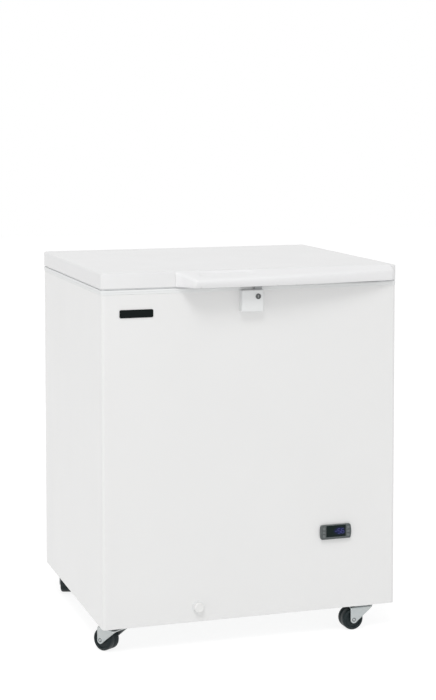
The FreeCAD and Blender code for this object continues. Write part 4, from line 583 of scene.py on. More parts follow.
class Maker:
    """Turns grids of points into finished pieces that ride on their bodies."""

    def __init__(self, palette: Palette, record_slots: set[str]) -> None:
        """Keeps the palette and the slots.

        Args:
            palette: the materials.
            record_slots: the material slots that the record names.
        """
        self.palette = palette
        self.record_slots = record_slots
        self.count = 0

    def grid(self, name: str, points: Array, cap: Cap = Cap.BOTH) -> bpy.types.Object:
        """A mesh from a grid whose second direction closes on itself.

        Args:
            name: the piece's name.
            points: grid of shape (rows, columns, 3).
            cap: how the first and last rows are closed.

        Returns:
            The object, with smooth faces and its normals outward.
        """
        rows, columns = points.shape[:2]
        index = np.arange(rows * columns).reshape(rows, columns)
        above = np.roll(index, -1, 0)
        quads = np.stack([index, np.roll(index, -1, 1), np.roll(above, -1, 1), above], -1)
        if cap is Cap.JOINED:
            faces = quads.reshape(-1, 4).tolist()
        else:
            faces = quads[:-1].reshape(-1, 4).tolist() + [index[0].tolist()[::-1], index[-1].tolist()]
        mesh = bpy.data.meshes.new(name)
        mesh.from_pydata(points.reshape(-1, 3).tolist(), [], faces)
        return self.finish_mesh(name, mesh)

    def finish_mesh(self, name: str, mesh: bpy.types.Mesh) -> bpy.types.Object:
        """Merges doubles, points faces outward, shades smoothly and links the object.

        Args:
            name: the piece's name.
            mesh: its mesh.

        Returns:
            The object.
        """
        work = bmesh.new()
        work.from_mesh(mesh)
        bmesh.ops.remove_doubles(work, verts=work.verts, dist=1e-6)
        bmesh.ops.dissolve_degenerate(work, edges=work.edges, dist=1e-7)
        bmesh.ops.recalc_face_normals(work, faces=work.faces)
        work.to_mesh(mesh)
        work.free()
        mesh.polygons.foreach_set("use_smooth", np.ones(len(mesh.polygons), bool))
        mesh.set_sharp_from_angle(angle=SMOOTH_LIMIT)
        mesh.update()
        made = bpy.data.objects.new(name, mesh)
        bpy.context.scene.collection.objects.link(made)
        return made

    def lathe(self, name: str, profile: Array, centre: Vector, axis: Vector, steps: int = 72,
              flute: Array | None = None, cap: Cap = Cap.BOTH) -> bpy.types.Object:
        """A profile turned round an axis.

        A point is the centre plus the axis times the profile's second value, plus its first
        value times cosine and sine of the turn along two directions square to the axis.

        Args:
            name: the piece's name.
            profile: rows of radius and distance along the axis.
            centre: a point on the axis.
            axis: the axis.
            steps: points in a turn.
            flute: optional factors on the radius, of shape (profile, steps).
            cap: capped at both ends, or joined into a ring round a bore.

        Returns:
            The closed piece.
        """
        unit = np.array(axis.normalized())
        first = np.cross(unit, [0.0, 0.0, 1.0] if abs(unit[2]) < 0.9 else [1.0, 0.0, 0.0])
        first /= np.linalg.norm(first)
        second = np.cross(unit, first)
        turn = np.linspace(0.0, 2 * math.pi, steps, endpoint=False)
        radius = profile[:, :1] * (np.ones((len(profile), steps)) if flute is None else flute)
        points = (np.array(centre)
                  + unit * profile[:, 1][:, None, None]
                  + first * (radius * np.cos(turn))[..., None]
                  + second * (radius * np.sin(turn))[..., None])
        return self.grid(name, points, cap)

    def panel(self, name: str, outline: Outline, profile: Array, back: float) -> bpy.types.Object:
        """A flat piece on the front, from a profile carried round its outline in x and z.

        A point is the outline's point moved inward by the profile's first value, at the
        profile's second value in front of the back plane.

        Args:
            name: the piece's name.
            outline: its outline, seen from the front.
            profile: rows of inset and distance in front of the back plane.
            back: the back plane's y.

        Returns:
            The closed piece.
        """
        ring = outline.ring(profile[:, 0], profile[:, 1])
        points = np.stack([ring[..., 0], back - ring[..., 2], ring[..., 1]], -1)
        return self.grid(name, points)

    def place(self, obj: bpy.types.Object, body: str, slot: str, *nodes: str) -> bpy.types.Object:
        """Dresses a finished piece, sets it on its body and hides the nodes it stands for.

        Args:
            obj: the piece.
            body: the body it rides on.
            slot: its finish.
            nodes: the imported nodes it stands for.

        Returns:
            The piece.
        """
        self.palette.dress(obj, slot)
        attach(obj, body)
        if nodes:
            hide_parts(*nodes)
        self.count += 1
        log.info("%s on %s, %d faces", obj.name, body, len(obj.data.polygons))
        return obj


@dataclass
class Cabinet:
    """Rim round the top of the cabinet, with its stepped band, and the blank plate."""

    maker: Maker
    corner: float = 9.2 * MM
    well_corner: float = 22.0 * MM
    step: float = 0.5 * MM
    edge: float = 0.5 * MM
    lip: float = 2.0 * MM
    liner_sheet: float = 1.5 * MM
    band_sheet: float = 1.2 * MM
    depth: float = 3.0 * MM
    plate_corner: float = 3.5 * MM
    corner_steps: int = 12

    def rim(self) -> None:
        """Rim: outer band with two rounded steps, flat top, and a rounded edge into the well.

        The outer profile is carried round the rim's outline; the inner edge is a quarter circle
        carried round the well's outline; the flat top is the strip between them.
        """
        low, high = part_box("top_rim")
        well_low, well_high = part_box("inner_liner")
        outer = Outline.box(low.x, high.x, low.y, high.y, self.corner, self.corner_steps)
        inner = Outline.box(well_low.x + self.liner_sheet, well_high.x - self.liner_sheet,
                            well_low.y + self.liner_sheet, well_high.y - self.liner_sheet,
                            self.well_corner, self.corner_steps)
        under, middle = high.z - self.depth, (low.z + high.z) / 2
        e = self.edge
        band = np.array([
            (self.band_sheet, under), (self.band_sheet, low.z), (self.step + e, low.z),
            (self.step, low.z + e),
            (self.step, middle - e), (e, middle), (0.0, middle + e), (0.0, high.z - 2 * e),
            (e * 0.6, high.z - e * 0.6), (2 * e, high.z)])
        round_in = arc((self.lip, high.z - self.lip), self.lip, 90.0, 180.0, 6) * [-1.0, 1.0]
        lip = np.concatenate([round_in, [(0.0, under)]])
        points = np.concatenate([outer.ring(band[:, 0], band[:, 1]), inner.ring(lip[:, 0], lip[:, 1])])
        made = self.maker.grid("rim", points, Cap.JOINED)
        self.maker.place(made, "cabinet", "white_moulding", "top_rim")

    def plate(self) -> None:
        """Blank plate: a rounded rectangle with a raised border and a smooth sunk face."""
        low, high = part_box("nameplate")
        outline = Outline.box(low.x, high.x, low.z, high.z, self.plate_corner, 8)
        thick = high.y - low.y
        profile = np.array([(0.0, 0.0), (0.0, thick * 0.7), (0.25 * MM, thick * 0.93), (0.6 * MM, thick),
                            (1.1 * MM, thick), (1.4 * MM, thick * 0.8)])
        made = self.maker.panel("blank_plate", outline, profile, high.y)
        self.maker.place(made, "cabinet", "black_plate", "nameplate")

    def build(self) -> None:
        """Makes the rim and the plate."""
        self.rim()
        self.plate()


@dataclass
class Lid:
    """Lid shell with the step for the handle, and the bellows gasket."""

    maker: Maker
    corner: float = 9.2 * MM
    edge: float = 4.5 * MM
    seam_edge: float = 0.25 * MM
    rebate: float = 5.0 * MM
    wall: float = 2.5 * MM
    corner_steps: int = 12
    edge_steps: int = 8

    def pan(self) -> None:
        """Outer shell, one closed surface: inside wall, lower edge, outside wall, rounded top.

        The outline is a rounded box with four sharp points for the handle's step, put in after
        its first corner. The top edge is a quarter circle, whose radius is that of the seam at
        the two points behind the handle. The walls are inset square to both sides of a sharp
        point, and the top edge is inset towards the back there, so the step's ends stay flat.
        """
        low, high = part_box("lid_pan")
        grip_low, grip_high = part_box("lid_handle")
        back = low.y + self.rebate
        box = Outline.box(low.x, high.x, low.y, high.y, self.corner, self.corner_steps)
        step = [(grip_low.x, low.y), (grip_low.x, back), (grip_high.x, back), (grip_high.x, low.y)]
        place = [self.corner_steps] * 4
        outline = np.insert(box.points, place, step, 0)
        across = np.insert(box.outward, place, [(1, -1), (1, -1), (-1, -1), (-1, -1)], 0)
        upward = np.insert(box.outward, place, [(0, -1)] * 4, 0)
        radius = np.insert(np.full(len(box.points), self.edge), place,
                           [self.edge, self.seam_edge, self.seam_edge, self.edge])
        turn = np.linspace(0.0, RIGHT_ANGLE, self.edge_steps)[:, None]
        top = outline - upward * (radius * (1.0 - np.cos(turn)))[..., None]
        top_height = high.z - radius * (1.0 - np.sin(turn))
        w, lip = self.wall, 0.7 * MM
        lower = np.array([(w, high.z - w), (w, low.z + lip), (w - lip, low.z), (lip, low.z),
                          (0.0, low.z + lip)])
        walls = outline - across * lower[:, :1, None]
        wall_height = np.broadcast_to(lower[:, 1:], walls.shape[:2])
        points = np.concatenate([np.concatenate([walls, wall_height[..., None]], 2),
                                 np.concatenate([top, top_height[..., None]], 2)])
        self.maker.place(self.maker.grid("lid_shell", points), "lid", "lid_white", "lid_pan")

    def gasket(self) -> None:
        """Bellows gasket: a foot in the groove, a folded waist, a soft pad and a lip at each side.

        The profile is carried round four mitred corners, as the welded corners of such a gasket.
        """
        low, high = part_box("lid_gasket")
        corners = np.array([(low.x, low.y), (high.x, low.y), (high.x, high.y), (low.x, high.y)])
        outline = Outline(corners, np.array([(-1.0, -1.0), (1.0, -1.0), (1.0, 1.0), (-1.0, 1.0)]))
        width, deep = 16.0 * MM, high.z - low.z
        side = np.array([(0.18, 1.0), (0.18, 0.72), (0.06, 0.64), (0.06, 0.56), (0.2, 0.48), (0.0, 0.34),
                         (-0.8, 0.33), (-0.9, 0.26), (-0.92, 0.05), (-0.88, 0.0), (-0.84, 0.05),
                         (-0.8, 0.2), (-0.72, 0.25), (0.0, 0.26), (0.0, 0.08), (0.06, 0.0)])
        outer = side * [width / 2, deep]
        inner = outer[::-1] * [-1, 1] + [width, 0]
        profile = np.concatenate([outer, inner])
        points = outline.ring(profile[:, 0], low.z + profile[:, 1])
        self.maker.place(self.maker.grid("gasket", points, Cap.JOINED), "lid", "gasket_rubber", "lid_gasket")

    def build(self) -> None:
        """Makes the lid's pieces."""
        self.pan()
        self.gasket()


@dataclass
class Handle:
    """Moulded handle: deep at the left, tapering to the right, hollow below, dished on top."""

    maker: Maker
    rebate: float = 5.0 * MM
    wall: float = 3.0 * MM
    top_wall: float = 5.0 * MM
    flank: float = 40.0 * MM
    plateau: float = 90.0 * MM
    seam_reach: float = 1.5 * MM
    end_reach: float = 9.0 * MM
    seam_drop: float = 5.0 * MM
    full_drop: float = 19.0 * MM
    end_drop: float = 12.0 * MM
    ridge: float = 4.5 * MM
    tuck: float = 5.5 * MM
    solid_end: float = 26.0 * MM
    dish_length: float = 138.0 * MM
    dish_margin: float = 8.0 * MM
    dish_depth: float = 3.8 * MM
    dish_middle: float = 0.46
    dish_half: float = 0.34
    bank: float = 0.16
    fade: float = 5.0 * MM
    rib: float = 2.0 * MM
    rib_first: float = 45.5 * MM
    rib_pitch: float = 46.0 * MM
    ribs: int = 6
    stations: int = 150

    def __post_init__(self) -> None:
        """Reads the handle's box and the lid's front from the frame."""
        low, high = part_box("lid_handle")
        pan_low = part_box("lid_pan")[0]
        self.left, self.right = low.x, high.x
        self.front, self.reach = pan_low.y, pan_low.y - low.y
        self.top, self.bottom = high.z, low.z

    def reach_at(self, x: Array) -> Array:
        """Reach along the handle: a smooth flank, a plateau, then a parabola down to the end.

        Args:
            x: places along the handle.

        Returns:
            How far the ridge stands in front of the lid.
        """
        along = x - self.left
        rise = self.seam_reach + (self.reach - self.seam_reach) * smooth(along / self.flank)
        start = self.flank + self.plateau
        share = np.clip((along - start) / (self.right - self.left - start), 0.0, 1.0)
        return rise - (self.reach - self.end_reach) * share ** 2

    def drop_at(self, x: Array) -> Array:
        """Fall of the ridge: a smooth flank, then a straight taper.

        Args:
            x: places along the handle.

        Returns:
            How far the ridge lies below the lid's top.
        """
        along = x - self.left
        fall = self.seam_drop + (self.full_drop - self.seam_drop) * smooth(along / self.flank)
        share = np.clip((along - self.flank) / (self.right - self.left - self.flank), 0.0, 1.0)
        return fall - (self.full_drop - self.end_drop) * share

    def dish_at(self, x: Array, share: Array) -> Array:
        """Depth of the shallow dish: full inside a long rounded outline, with soft banks.

        The outline is where the sum of the fifth power of the distance along the handle and the
        third power of that across it is 1, each counted from the dish's middle.

        Args:
            x: places along the handle.
            share: places down the slope, from 0 to 1.

        Returns:
            The depth.
        """
        start = self.left + self.flank + self.dish_margin
        across = np.abs((x - start) / self.dish_length * 2 - 1)
        along = np.abs(share - self.dish_middle) / self.dish_half
        far = (across ** 5 + along ** 3) ** 0.25
        return self.dish_depth * (1.0 - smooth((far - (1.0 - self.bank)) / self.bank))

    def section(self, x: Array) -> Array:
        """Outer and inner profile at each place along the handle.

        Outside: up the back, down a slightly rounded slope less the dish, round the ridge, down
        the front face with a small tuck, round the lower edge. Inside: up the front wall, over
        the ceiling and down the back wall, flattened to the lower edge near both solid ends.

        Args:
            x: places along the handle, shape (n, 1).

        Returns:
            Points of shape (n, profile, 3).
        """
        reach, drop = self.reach_at(x), self.drop_at(x)
        height = self.top - self.bottom
        round_off = np.minimum(self.ridge, 0.45 * (reach + self.rebate))
        soft = 0.25 * MM
        tuck = self.tuck * reach / self.reach
        parts = [(np.full_like(x, -self.rebate), np.full_like(x, height)),
                 (np.full_like(x, -self.rebate), np.full_like(x, soft)),
                 (np.full_like(x, -self.rebate + soft * 0.3), np.full_like(x, soft * 0.3)),
                 (np.full_like(x, -self.rebate + soft), np.zeros_like(x))]
        t = np.linspace(0.03, 1.0, 22)[None, 1:]
        start_out, start_down = reach - round_off, drop - round_off * 0.7
        parts.append((-self.rebate + (start_out + self.rebate) * t,
                      start_down * (0.68 * t + 0.32 * t ** 2) + self.dish_at(x, t)))
        bend = np.linspace(0.0, 1.0, 9)[None, 1:]
        mid_out, mid_down = reach - round_off * 0.05, drop - round_off * 0.35
        end_out, end_down = reach, drop + round_off * 0.6
        parts.append((bezier(start_out, mid_out, end_out, bend),
                      bezier(start_down, mid_down, end_down, bend)))
        down = np.linspace(0.0, 1.0, 6)[None, 1:]
        edge = 0.9 * MM
        parts.append((end_out - tuck * down ** 2, end_down + (height - edge - end_down) * down))
        parts.append((end_out - tuck - edge * np.array([[0.3, 1.0]]),
                      height - edge * np.array([[0.3, 0.0]])))
        open_share = (smooth((x - self.left - self.solid_end) / self.fade)
                      * smooth((self.right - self.solid_end - x) / self.fade))
        to_rib = np.abs((x - self.rib_first - self.rib / 2) / self.rib_pitch)
        from_rib = np.abs(to_rib - np.clip(np.round(to_rib), 0, self.ribs - 1)) * self.rib_pitch
        open_share = open_share * np.where(from_rib <= self.rib / 2, 0.07, 1.0)
        back, front = -self.rebate + self.wall, reach - self.wall
        inner = [(front - tuck, height), (front, drop + self.top_wall + 1.5 * MM),
                 (front - 1.5 * MM, drop + self.top_wall), ((front + back) / 2, drop * 0.5 + self.top_wall),
                 (back + 1.5 * MM, self.top_wall + 3.0 * MM), (back, self.top_wall + 4.5 * MM),
                 (back, height)]
        for out, below in inner:
            below = np.broadcast_to(below, x.shape)
            parts.append((np.broadcast_to(out, x.shape), height - (height - below) * open_share))
        out = np.concatenate([np.broadcast_to(p[0], (len(x), np.shape(p[0])[1])) for p in parts], 1)
        below = np.concatenate([np.broadcast_to(p[1], (len(x), np.shape(p[1])[1])) for p in parts], 1)
        return np.stack([np.broadcast_to(x, out.shape), self.front - out, self.top - below], -1)

    def build(self) -> None:
        """Makes the handle: close stations on the flank, and four at the sides of each rib."""
        flank = self.left + self.flank * 1.2 * np.linspace(0.0, 1.0, 40)
        rest = np.linspace(flank[-1], self.right, self.stations - 39)[1:]
        starts = self.rib_first + self.rib_pitch * np.arange(self.ribs)
        sides = starts[:, None] + [-0.05 * MM, 0.05 * MM, self.rib - 0.05 * MM, self.rib + 0.05 * MM]
        gap = 0.15 * MM
        x = np.clip(np.concatenate([flank, rest]), self.left + gap, self.right - gap)
        clear = np.abs(x[:, None] - starts - self.rib / 2).min(1) > self.rib
        x = np.sort(np.concatenate([x[clear], sides.ravel()]))[:, None]
        made = self.maker.grid("handle", self.section(x))
        self.maker.place(made, "lid", "handle_white", "lid_handle")


@dataclass
class Lock:
    """Housing of the lock: a drafted box on the front with a slot on top for the hasp."""

    maker: Maker
    rise: float = 4.0 * MM
    draft: float = 2.0 * MM
    corner: float = 2.6 * MM
    edge: float = 1.8 * MM
    into_wall: float = 3.0 * MM
    hasp_sheet: float = 2.5 * MM
    side_play: float = 0.8 * MM
    face_play: float = 1.3 * MM
    floor_play: float = 3.0 * MM
    slot_corner: float = 0.8 * MM
    slot_lip: float = 0.3 * MM
    corner_steps: int = 7

    def build(self) -> None:
        """Makes the housing: up the slot's walls, over the flat top and down the outside.

        The slot is a box outline carried upwards. The outside is a trapezoid in plan, narrower
        at the front, carried down with a quarter circle at its upper and its lower edge.
        """
        low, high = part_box("lock_housing")
        hasp_low, hasp_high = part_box("lock_hasp")
        top, back, e = high.z + self.rise, high.y + self.into_wall, self.edge
        outer = Outline.rounded([(low.x + self.draft, low.y), (high.x - self.draft, low.y),
                                 (high.x, back), (low.x, back)], self.corner, self.corner_steps)
        slot = Outline.box(hasp_low.x - self.side_play, hasp_high.x + self.side_play,
                           hasp_low.y - self.face_play, hasp_low.y + self.hasp_sheet + self.face_play,
                           self.slot_corner, self.corner_steps)
        walls = slot.ring(np.array([0.0, 0.0, -self.slot_lip]),
                          np.array([hasp_low.z - self.floor_play, top - self.slot_lip, top]))
        turn = np.linspace(0.0, RIGHT_ANGLE, 6)
        insets, drops = e * (1.0 - np.sin(turn)), e * (1.0 - np.cos(turn))
        outside = outer.ring(np.concatenate([insets, insets[::-1]]),
                             np.concatenate([top - drops, low.z + drops[::-1]]))
        made = self.maker.grid("lock_case", np.concatenate([walls, outside]))
        self.maker.place(made, "cabinet", "white_moulding", "lock_housing")


@dataclass
class Castors:
    """Four swivel castors: wheel with dished sides, bent fork and tubular rivet."""

    maker: Maker
    radius: float = 26.0 * MM
    half_width: float = 18.0 * MM
    shoulder: float = 6.0 * MM
    trail: float = 24.0 * MM
    nose: float = 8.5 * MM
    tail: float = 24.0 * MM
    sheet: float = 2.2 * MM
    side_gap: float = 1.2 * MM
    bend: float = 3.2 * MM
    bore: float = 3.05 * MM
    hub: float = 7.5 * MM
    dish: float = 3.0 * MM
    rim: float = 4.9 * MM
    core: float = 2.5 * MM
    fork_edge: float = 0.35 * MM

    def wheel(self, corner: str, centre: Vector, axis: Vector) -> None:
        """Wheel: hub, dished side, rounded shoulder and a tread with a faint centre line.

        Args:
            corner: fl, fr, rl or rr.
            centre: the wheel's centre.
            axis: the axle's direction.
        """
        r, h, s, hub = self.radius, self.half_width, self.shoulder, self.hub
        side = np.concatenate([
            [(self.bore, 0.0), (self.bore, h), (hub - 0.5 * MM, h), (hub, h - 0.5 * MM),
             (hub + 1 * MM, h - self.dish), (r - s - 2.0 * MM, h - self.dish),
             (r - s - 0.8 * MM, h - 0.7 * MM)],
            arc((r - s, h - s), s, 90.0, 0.0, 9), [(r, 0.35 * MM), (r - 0.25 * MM, 0.0)]])
        mirrored = side[::-1][1:-1] * [1.0, -1.0]
        profile = np.concatenate([side, mirrored])
        made = self.maker.lathe("wheel_" + corner, profile, centre, axis, cap=Cap.JOINED)
        self.maker.place(made, "wheel_" + corner, "black_tyre", "castor_wheel_" + corner)

    def fork(self, corner: str, pivot: Vector, centre: Vector, axis: Vector) -> None:
        """Fork: one sheet folded over the wheel.

        The fold is a path up one cheek, round a bend, over the crown and down the other cheek.
        At each height the sheet runs from the upright edge, which ends in the nose's circle,
        to the slanted edge, which is the tangent from the crown's tail to that circle.

        Args:
            corner: fl, fr, rl or rr.
            pivot: a point on the swivel's axis.
            centre: the wheel's centre.
            axis: the axle's direction.
        """
        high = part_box("castor_fork_" + corner)[1]
        half = self.half_width + self.side_gap + self.sheet / 2
        top, b = high.z - self.sheet / 2, self.bend
        axle = centre.z
        drop = np.concatenate([axle - self.nose * np.cos(np.linspace(0.0, RIGHT_ANGLE, 12)),
                               np.linspace(axle, top - b, 10)[1:]])
        bend = arc((half - b, top - b), b, 0.0, 90.0, 7)[1:]
        side = np.concatenate([np.stack([np.full_like(drop, half), drop], 1), bend])
        path = np.concatenate([side, side[::-1] * [-1.0, 1.0]])
        height = path[:, 1]
        below = np.clip(self.nose ** 2 - (height - axle) ** 2, 0.0, None)
        near = np.where(height < axle, np.sqrt(below), self.nose)
        first = -self.trail - near
        reach = np.array([self.tail + self.trail, high.z - self.sheet - axle])
        distance = float(np.linalg.norm(reach))
        touch = math.atan2(reach[1], reach[0]) - math.acos(self.nose / distance)
        touch_point = np.array([-self.trail + self.nose * math.cos(touch),
                                axle + self.nose * math.sin(touch)])
        tail_point = np.array([self.tail, high.z - self.sheet])
        share = (height - touch_point[1]) / (tail_point[1] - touch_point[1])
        slanted = touch_point[0] + (tail_point[0] - touch_point[0]) * np.clip(share, 0.0, 1.0)
        last = np.where(height < touch_point[1], -self.trail + np.sqrt(below), slanted)
        t = np.linspace(0.0, 1.0, 12)
        along = first[:, None] + (last - first)[:, None] * t
        forward = np.array(centre - pivot)
        forward[2] = 0.0
        forward /= -np.linalg.norm(forward)
        sideways = np.array(axis)
        base = np.array([pivot.x, pivot.y, 0.0])
        points = (base + forward * along[..., None] + sideways * path[:, 0][:, None, None]
                  + np.array([0.0, 0.0, 1.0]) * height[:, None, None])
        made = self.sheet_grid("fork_" + corner, points)
        self.maker.place(made, "fork_" + corner, "zinc_fork", "castor_fork_" + corner)

    def sheet_grid(self, name: str, points: Array) -> bpy.types.Object:
        """An open grid of points given the sheet's thickness and rounded edges by modifiers.

        Args:
            name: the piece's name.
            points: grid of shape (rows, columns, 3).

        Returns:
            The object.
        """
        rows, columns = points.shape[:2]
        index = np.arange(rows * columns).reshape(rows, columns)
        quads = np.stack([index[:-1, :-1], index[1:, :-1], index[1:, 1:], index[:-1, 1:]], -1)
        mesh = bpy.data.meshes.new(name)
        mesh.from_pydata(points.reshape(-1, 3).tolist(), [], quads.reshape(-1, 4).tolist())
        made = self.maker.finish_mesh(name, mesh)
        thick = made.modifiers.new("sheet", "SOLIDIFY")
        thick.thickness = self.sheet
        thick.offset = 0.0
        edges = made.modifiers.new("edges", "BEVEL")
        edges.width, edges.segments = self.fork_edge, 2
        edges.limit_method, edges.angle_limit = "ANGLE", SMOOTH_LIMIT
        edges.harden_normals = False
        return made

    def rivet(self, corner: str, centre: Vector, axis: Vector) -> None:
        """Tubular rivet: a dull shaft with a rolled rim at each end, and a bright domed core.

        Args:
            corner: fl, fr, rl or rr.
            centre: the wheel's centre.
            axis: the axle's direction.
        """
        end, rim, core = self.half_width + self.side_gap + self.sheet, self.rim, self.core
        upper = np.array([(3.0 * MM, 0.0), (3.0 * MM, end), (rim, end), (rim, end + 0.3 * MM),
                          (rim - 0.3 * MM, end + 0.6 * MM), (3.4 * MM, end + 0.6 * MM),
                          (3.1 * MM, end + 0.2 * MM), (0.05 * MM, end + 0.2 * MM)])
        dome = arc((0.0, 0.0), core, 0.0, 88.0, 9) * [1.0, 0.35] + [0.0, end + 0.3 * MM]
        upper_core = np.concatenate([[(core, 0.0)], dome])
        for name, half, slot in (("rivet_", upper, "dull_steel"),
                                 ("rivet_core_", upper_core, "bright_steel")):
            profile = np.concatenate([half[::-1], half[1:] * [1.0, -1.0]])
            made = self.maker.lathe(name + corner, profile, centre, axis, 40)
            nodes = ("castor_axle_" + corner,) if slot == "dull_steel" else ()
            self.maker.place(made, "fork_" + corner, slot, *nodes)

    def build(self, joints: dict[str, dict]) -> None:
        """Makes the four castors where their joints are.

        Args:
            joints: the frame's joints by name.
        """
        for corner in ("fl", "fr", "rl", "rr"):
            roll, swivel = joints["castor_%s_roll" % corner], joints["castor_%s_swivel" % corner]
            centre, axis = Vector(roll["pos_m"]), Vector(roll["axis"])
            self.wheel(corner, centre, axis)
            self.fork(corner, Vector(swivel["pos_m"]), centre, axis)
            self.rivet(corner, centre, axis)


@dataclass
class Controller:
    """Panel controller: smoked window with two digits and a sign, and six domed keys."""

    maker: Maker
    key_corner: float = 1.6 * MM
    digit_height: float = 11.0 * MM
    digit_width: float = 6.4 * MM
    digit_gap: float = 2.8 * MM
    stroke: float = 1.1 * MM
    digit_rise: float = 0.1 * MM
    digit_sink: float = 0.12 * MM
    digit_margin: float = 7.5 * MM
    window_corner: float = 0.8 * MM

    def window(self) -> None:
        """Window: a slightly crowned panel inside the bezel's opening."""
        low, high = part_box("display_window")
        outline = Outline.box(low.x, high.x, low.z, high.z, self.window_corner, 5)
        thick = high.y - low.y
        profile = np.array([(0.0, 0.0), (0.0, thick - 0.3 * MM), (0.1 * MM, thick - 0.1 * MM),
                            (0.3 * MM, thick)])
        made = self.maker.panel("window", outline, profile, high.y)
        self.maker.place(made, "cabinet", "smoked_window", "display_window")

    def digit(self, name: str, x: float, z: float, front: float, lit: str) -> None:
        """One digit: hexagonal bars for the lit segments of a seven-segment figure.

        Args:
            name: the piece's name.
            x: the digit's middle.
            z: its middle height.
            front: the window's face.
            lit: letters a to g of the lit segments.
        """
        w, h, s = self.digit_width / 2, self.digit_height / 2, self.stroke / 2
        bars = {"a": (0, h, 1), "b": (w, h / 2, 0), "c": (w, -h / 2, 0), "d": (0, -h, 1),
                "e": (-w, -h / 2, 0), "f": (-w, h / 2, 0), "g": (0, 0, 1)}
        hexagon = np.array([(-1.0, 0.0), (-0.8, -1.0), (0.8, -1.0), (1.0, 0.0), (0.8, 1.0), (-0.8, 1.0)])
        verts, faces = [], []
        for letter in lit:
            along, up, level = bars[letter]
            half = w - s * 0.6 if level else h / 2 - s * 0.6
            bar = hexagon * [half, s]
            flat = bar if level else bar[:, ::-1]
            place = flat + [x + along, z + up]
            for depth in (front - self.digit_sink, front + self.digit_rise):
                verts.append(np.stack([place[:, 0], np.full(6, depth), place[:, 1]], 1))
            start = 12 * (len(verts) // 2 - 1)
            ring = np.arange(6)
            sides = np.stack([ring, (ring + 1) % 6, (ring + 1) % 6 + 6, ring + 6], 1) + start
            faces += sides.tolist()
            faces += [(ring + start).tolist()[::-1], (ring + 6 + start).tolist()]
        mesh = bpy.data.meshes.new(name)
        mesh.from_pydata(np.concatenate(verts).tolist(), [], faces)
        self.maker.place(self.maker.finish_mesh(name, mesh), "cabinet", "lit_segment")

    def key(self, number: int) -> None:
        """One key: rounded outline with a face domed by a quarter sine wave.

        Args:
            number: 1 to 6.
        """
        node = "controller_key_%d" % number
        low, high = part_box(node)
        outline = Outline.box(low.x, high.x, low.z, high.z, self.key_corner, 6)
        thick = high.y - low.y
        t = np.linspace(0.0, 1.0, 7)
        insets = np.concatenate([[0.0], (self.key_corner - 0.05 * MM) * t ** 1.6])
        heights = np.concatenate([[0.0], thick * (0.72 + 0.28 * np.sin(t * RIGHT_ANGLE))])
        made = self.maker.panel("key_cap_%d" % number, outline, np.stack([insets, heights], 1), high.y)
        self.maker.place(made, "key_%d" % number, "key_rubber", node)

    def build(self) -> None:
        """Makes the window, its digits and the keys."""
        self.window()
        low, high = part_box("display_window")
        front, middle = low.y, (low.z + high.z) / 2 - 0.5 * MM
        pitch = self.digit_width + self.digit_gap
        last = high.x - self.digit_margin
        for place, lit in enumerate(("afgcd", "afgcde")):
            self.digit("digit_%d" % place, last - pitch * (1 - place), middle, front, lit)
        self.digit("digit_sign", last - pitch * 2 + 1.0 * MM, middle, front, "g")
        for number in range(1, 7):
            self.key(number)


@dataclass
class Drain:
    """Drain outlet: flanged bushing and a fluted push-in cap."""

    maker: Maker
    bore: float = 7.35 * MM
    barrel: float = 10.5 * MM
    rise: float = 2.0 * MM
    cap_face: float = 8.0 * MM
    cap_radius: float = 12.0 * MM
    stem: float = 7.0 * MM
    flutes: int = 18
    flute_depth: float = 0.035
    cap_steps: int = 144

    def build(self) -> None:
        """Makes the bushing's visible flange and the cap."""
        low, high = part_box("drain_bushing")
        middle = (low + high) / 2
        centre = Vector((middle.x, high.y, middle.z))
        depth, flange = high.y - low.y, (high.x - low.x) / 2
        bore, barrel, rise = self.bore, self.barrel, self.rise
        outer = np.array([(bore, 0.0), (barrel, 0.0), (barrel, depth - rise), (flange, depth - rise),
                          (flange, depth - rise * 0.6), (flange - 0.5 * MM, depth - 0.15 * MM),
                          (flange - 1.2 * MM, depth), (bore + 0.6 * MM, depth), (bore, depth - 0.6 * MM)])
        forward = Vector((0.0, -1.0, 0.0))
        made = self.maker.lathe("drain_flange", outer, centre, forward, cap=Cap.JOINED)
        self.maker.place(made, "cabinet", "white_moulding", "drain_bushing")
        low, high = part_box("drain_plug")
        face, cap_radius, stem = self.cap_face, self.cap_radius, self.stem
        base = Vector((middle.x, high.y, middle.z))
        depth = high.y - low.y
        profile = np.array([(0.01 * MM, 0.0), (stem - 1.0 * MM, 0.0), (stem, 1.0 * MM), (stem, depth - face),
                            (cap_radius, depth - face), (cap_radius, depth - 2.2 * MM),
                            (cap_radius - 0.7 * MM, depth - 0.7 * MM), (cap_radius - 2.2 * MM, depth),
                            (cap_radius - 4.0 * MM, depth), (cap_radius - 4.6 * MM, depth - 0.5 * MM),
                            (0.01 * MM, depth - 0.5 * MM)])
        turn = np.linspace(0.0, 2 * math.pi, self.cap_steps, endpoint=False)
        flute = np.ones((len(profile), self.cap_steps))
        flute[4:7] = 1.0 - self.flute_depth * np.clip(np.cos(turn * self.flutes), 0.0, 1.0) ** 2
        made = self.maker.lathe("drain_cap", profile, base, forward, self.cap_steps, flute)
        self.maker.place(made, "drain_plug", "pale_plastic", "drain_plug")


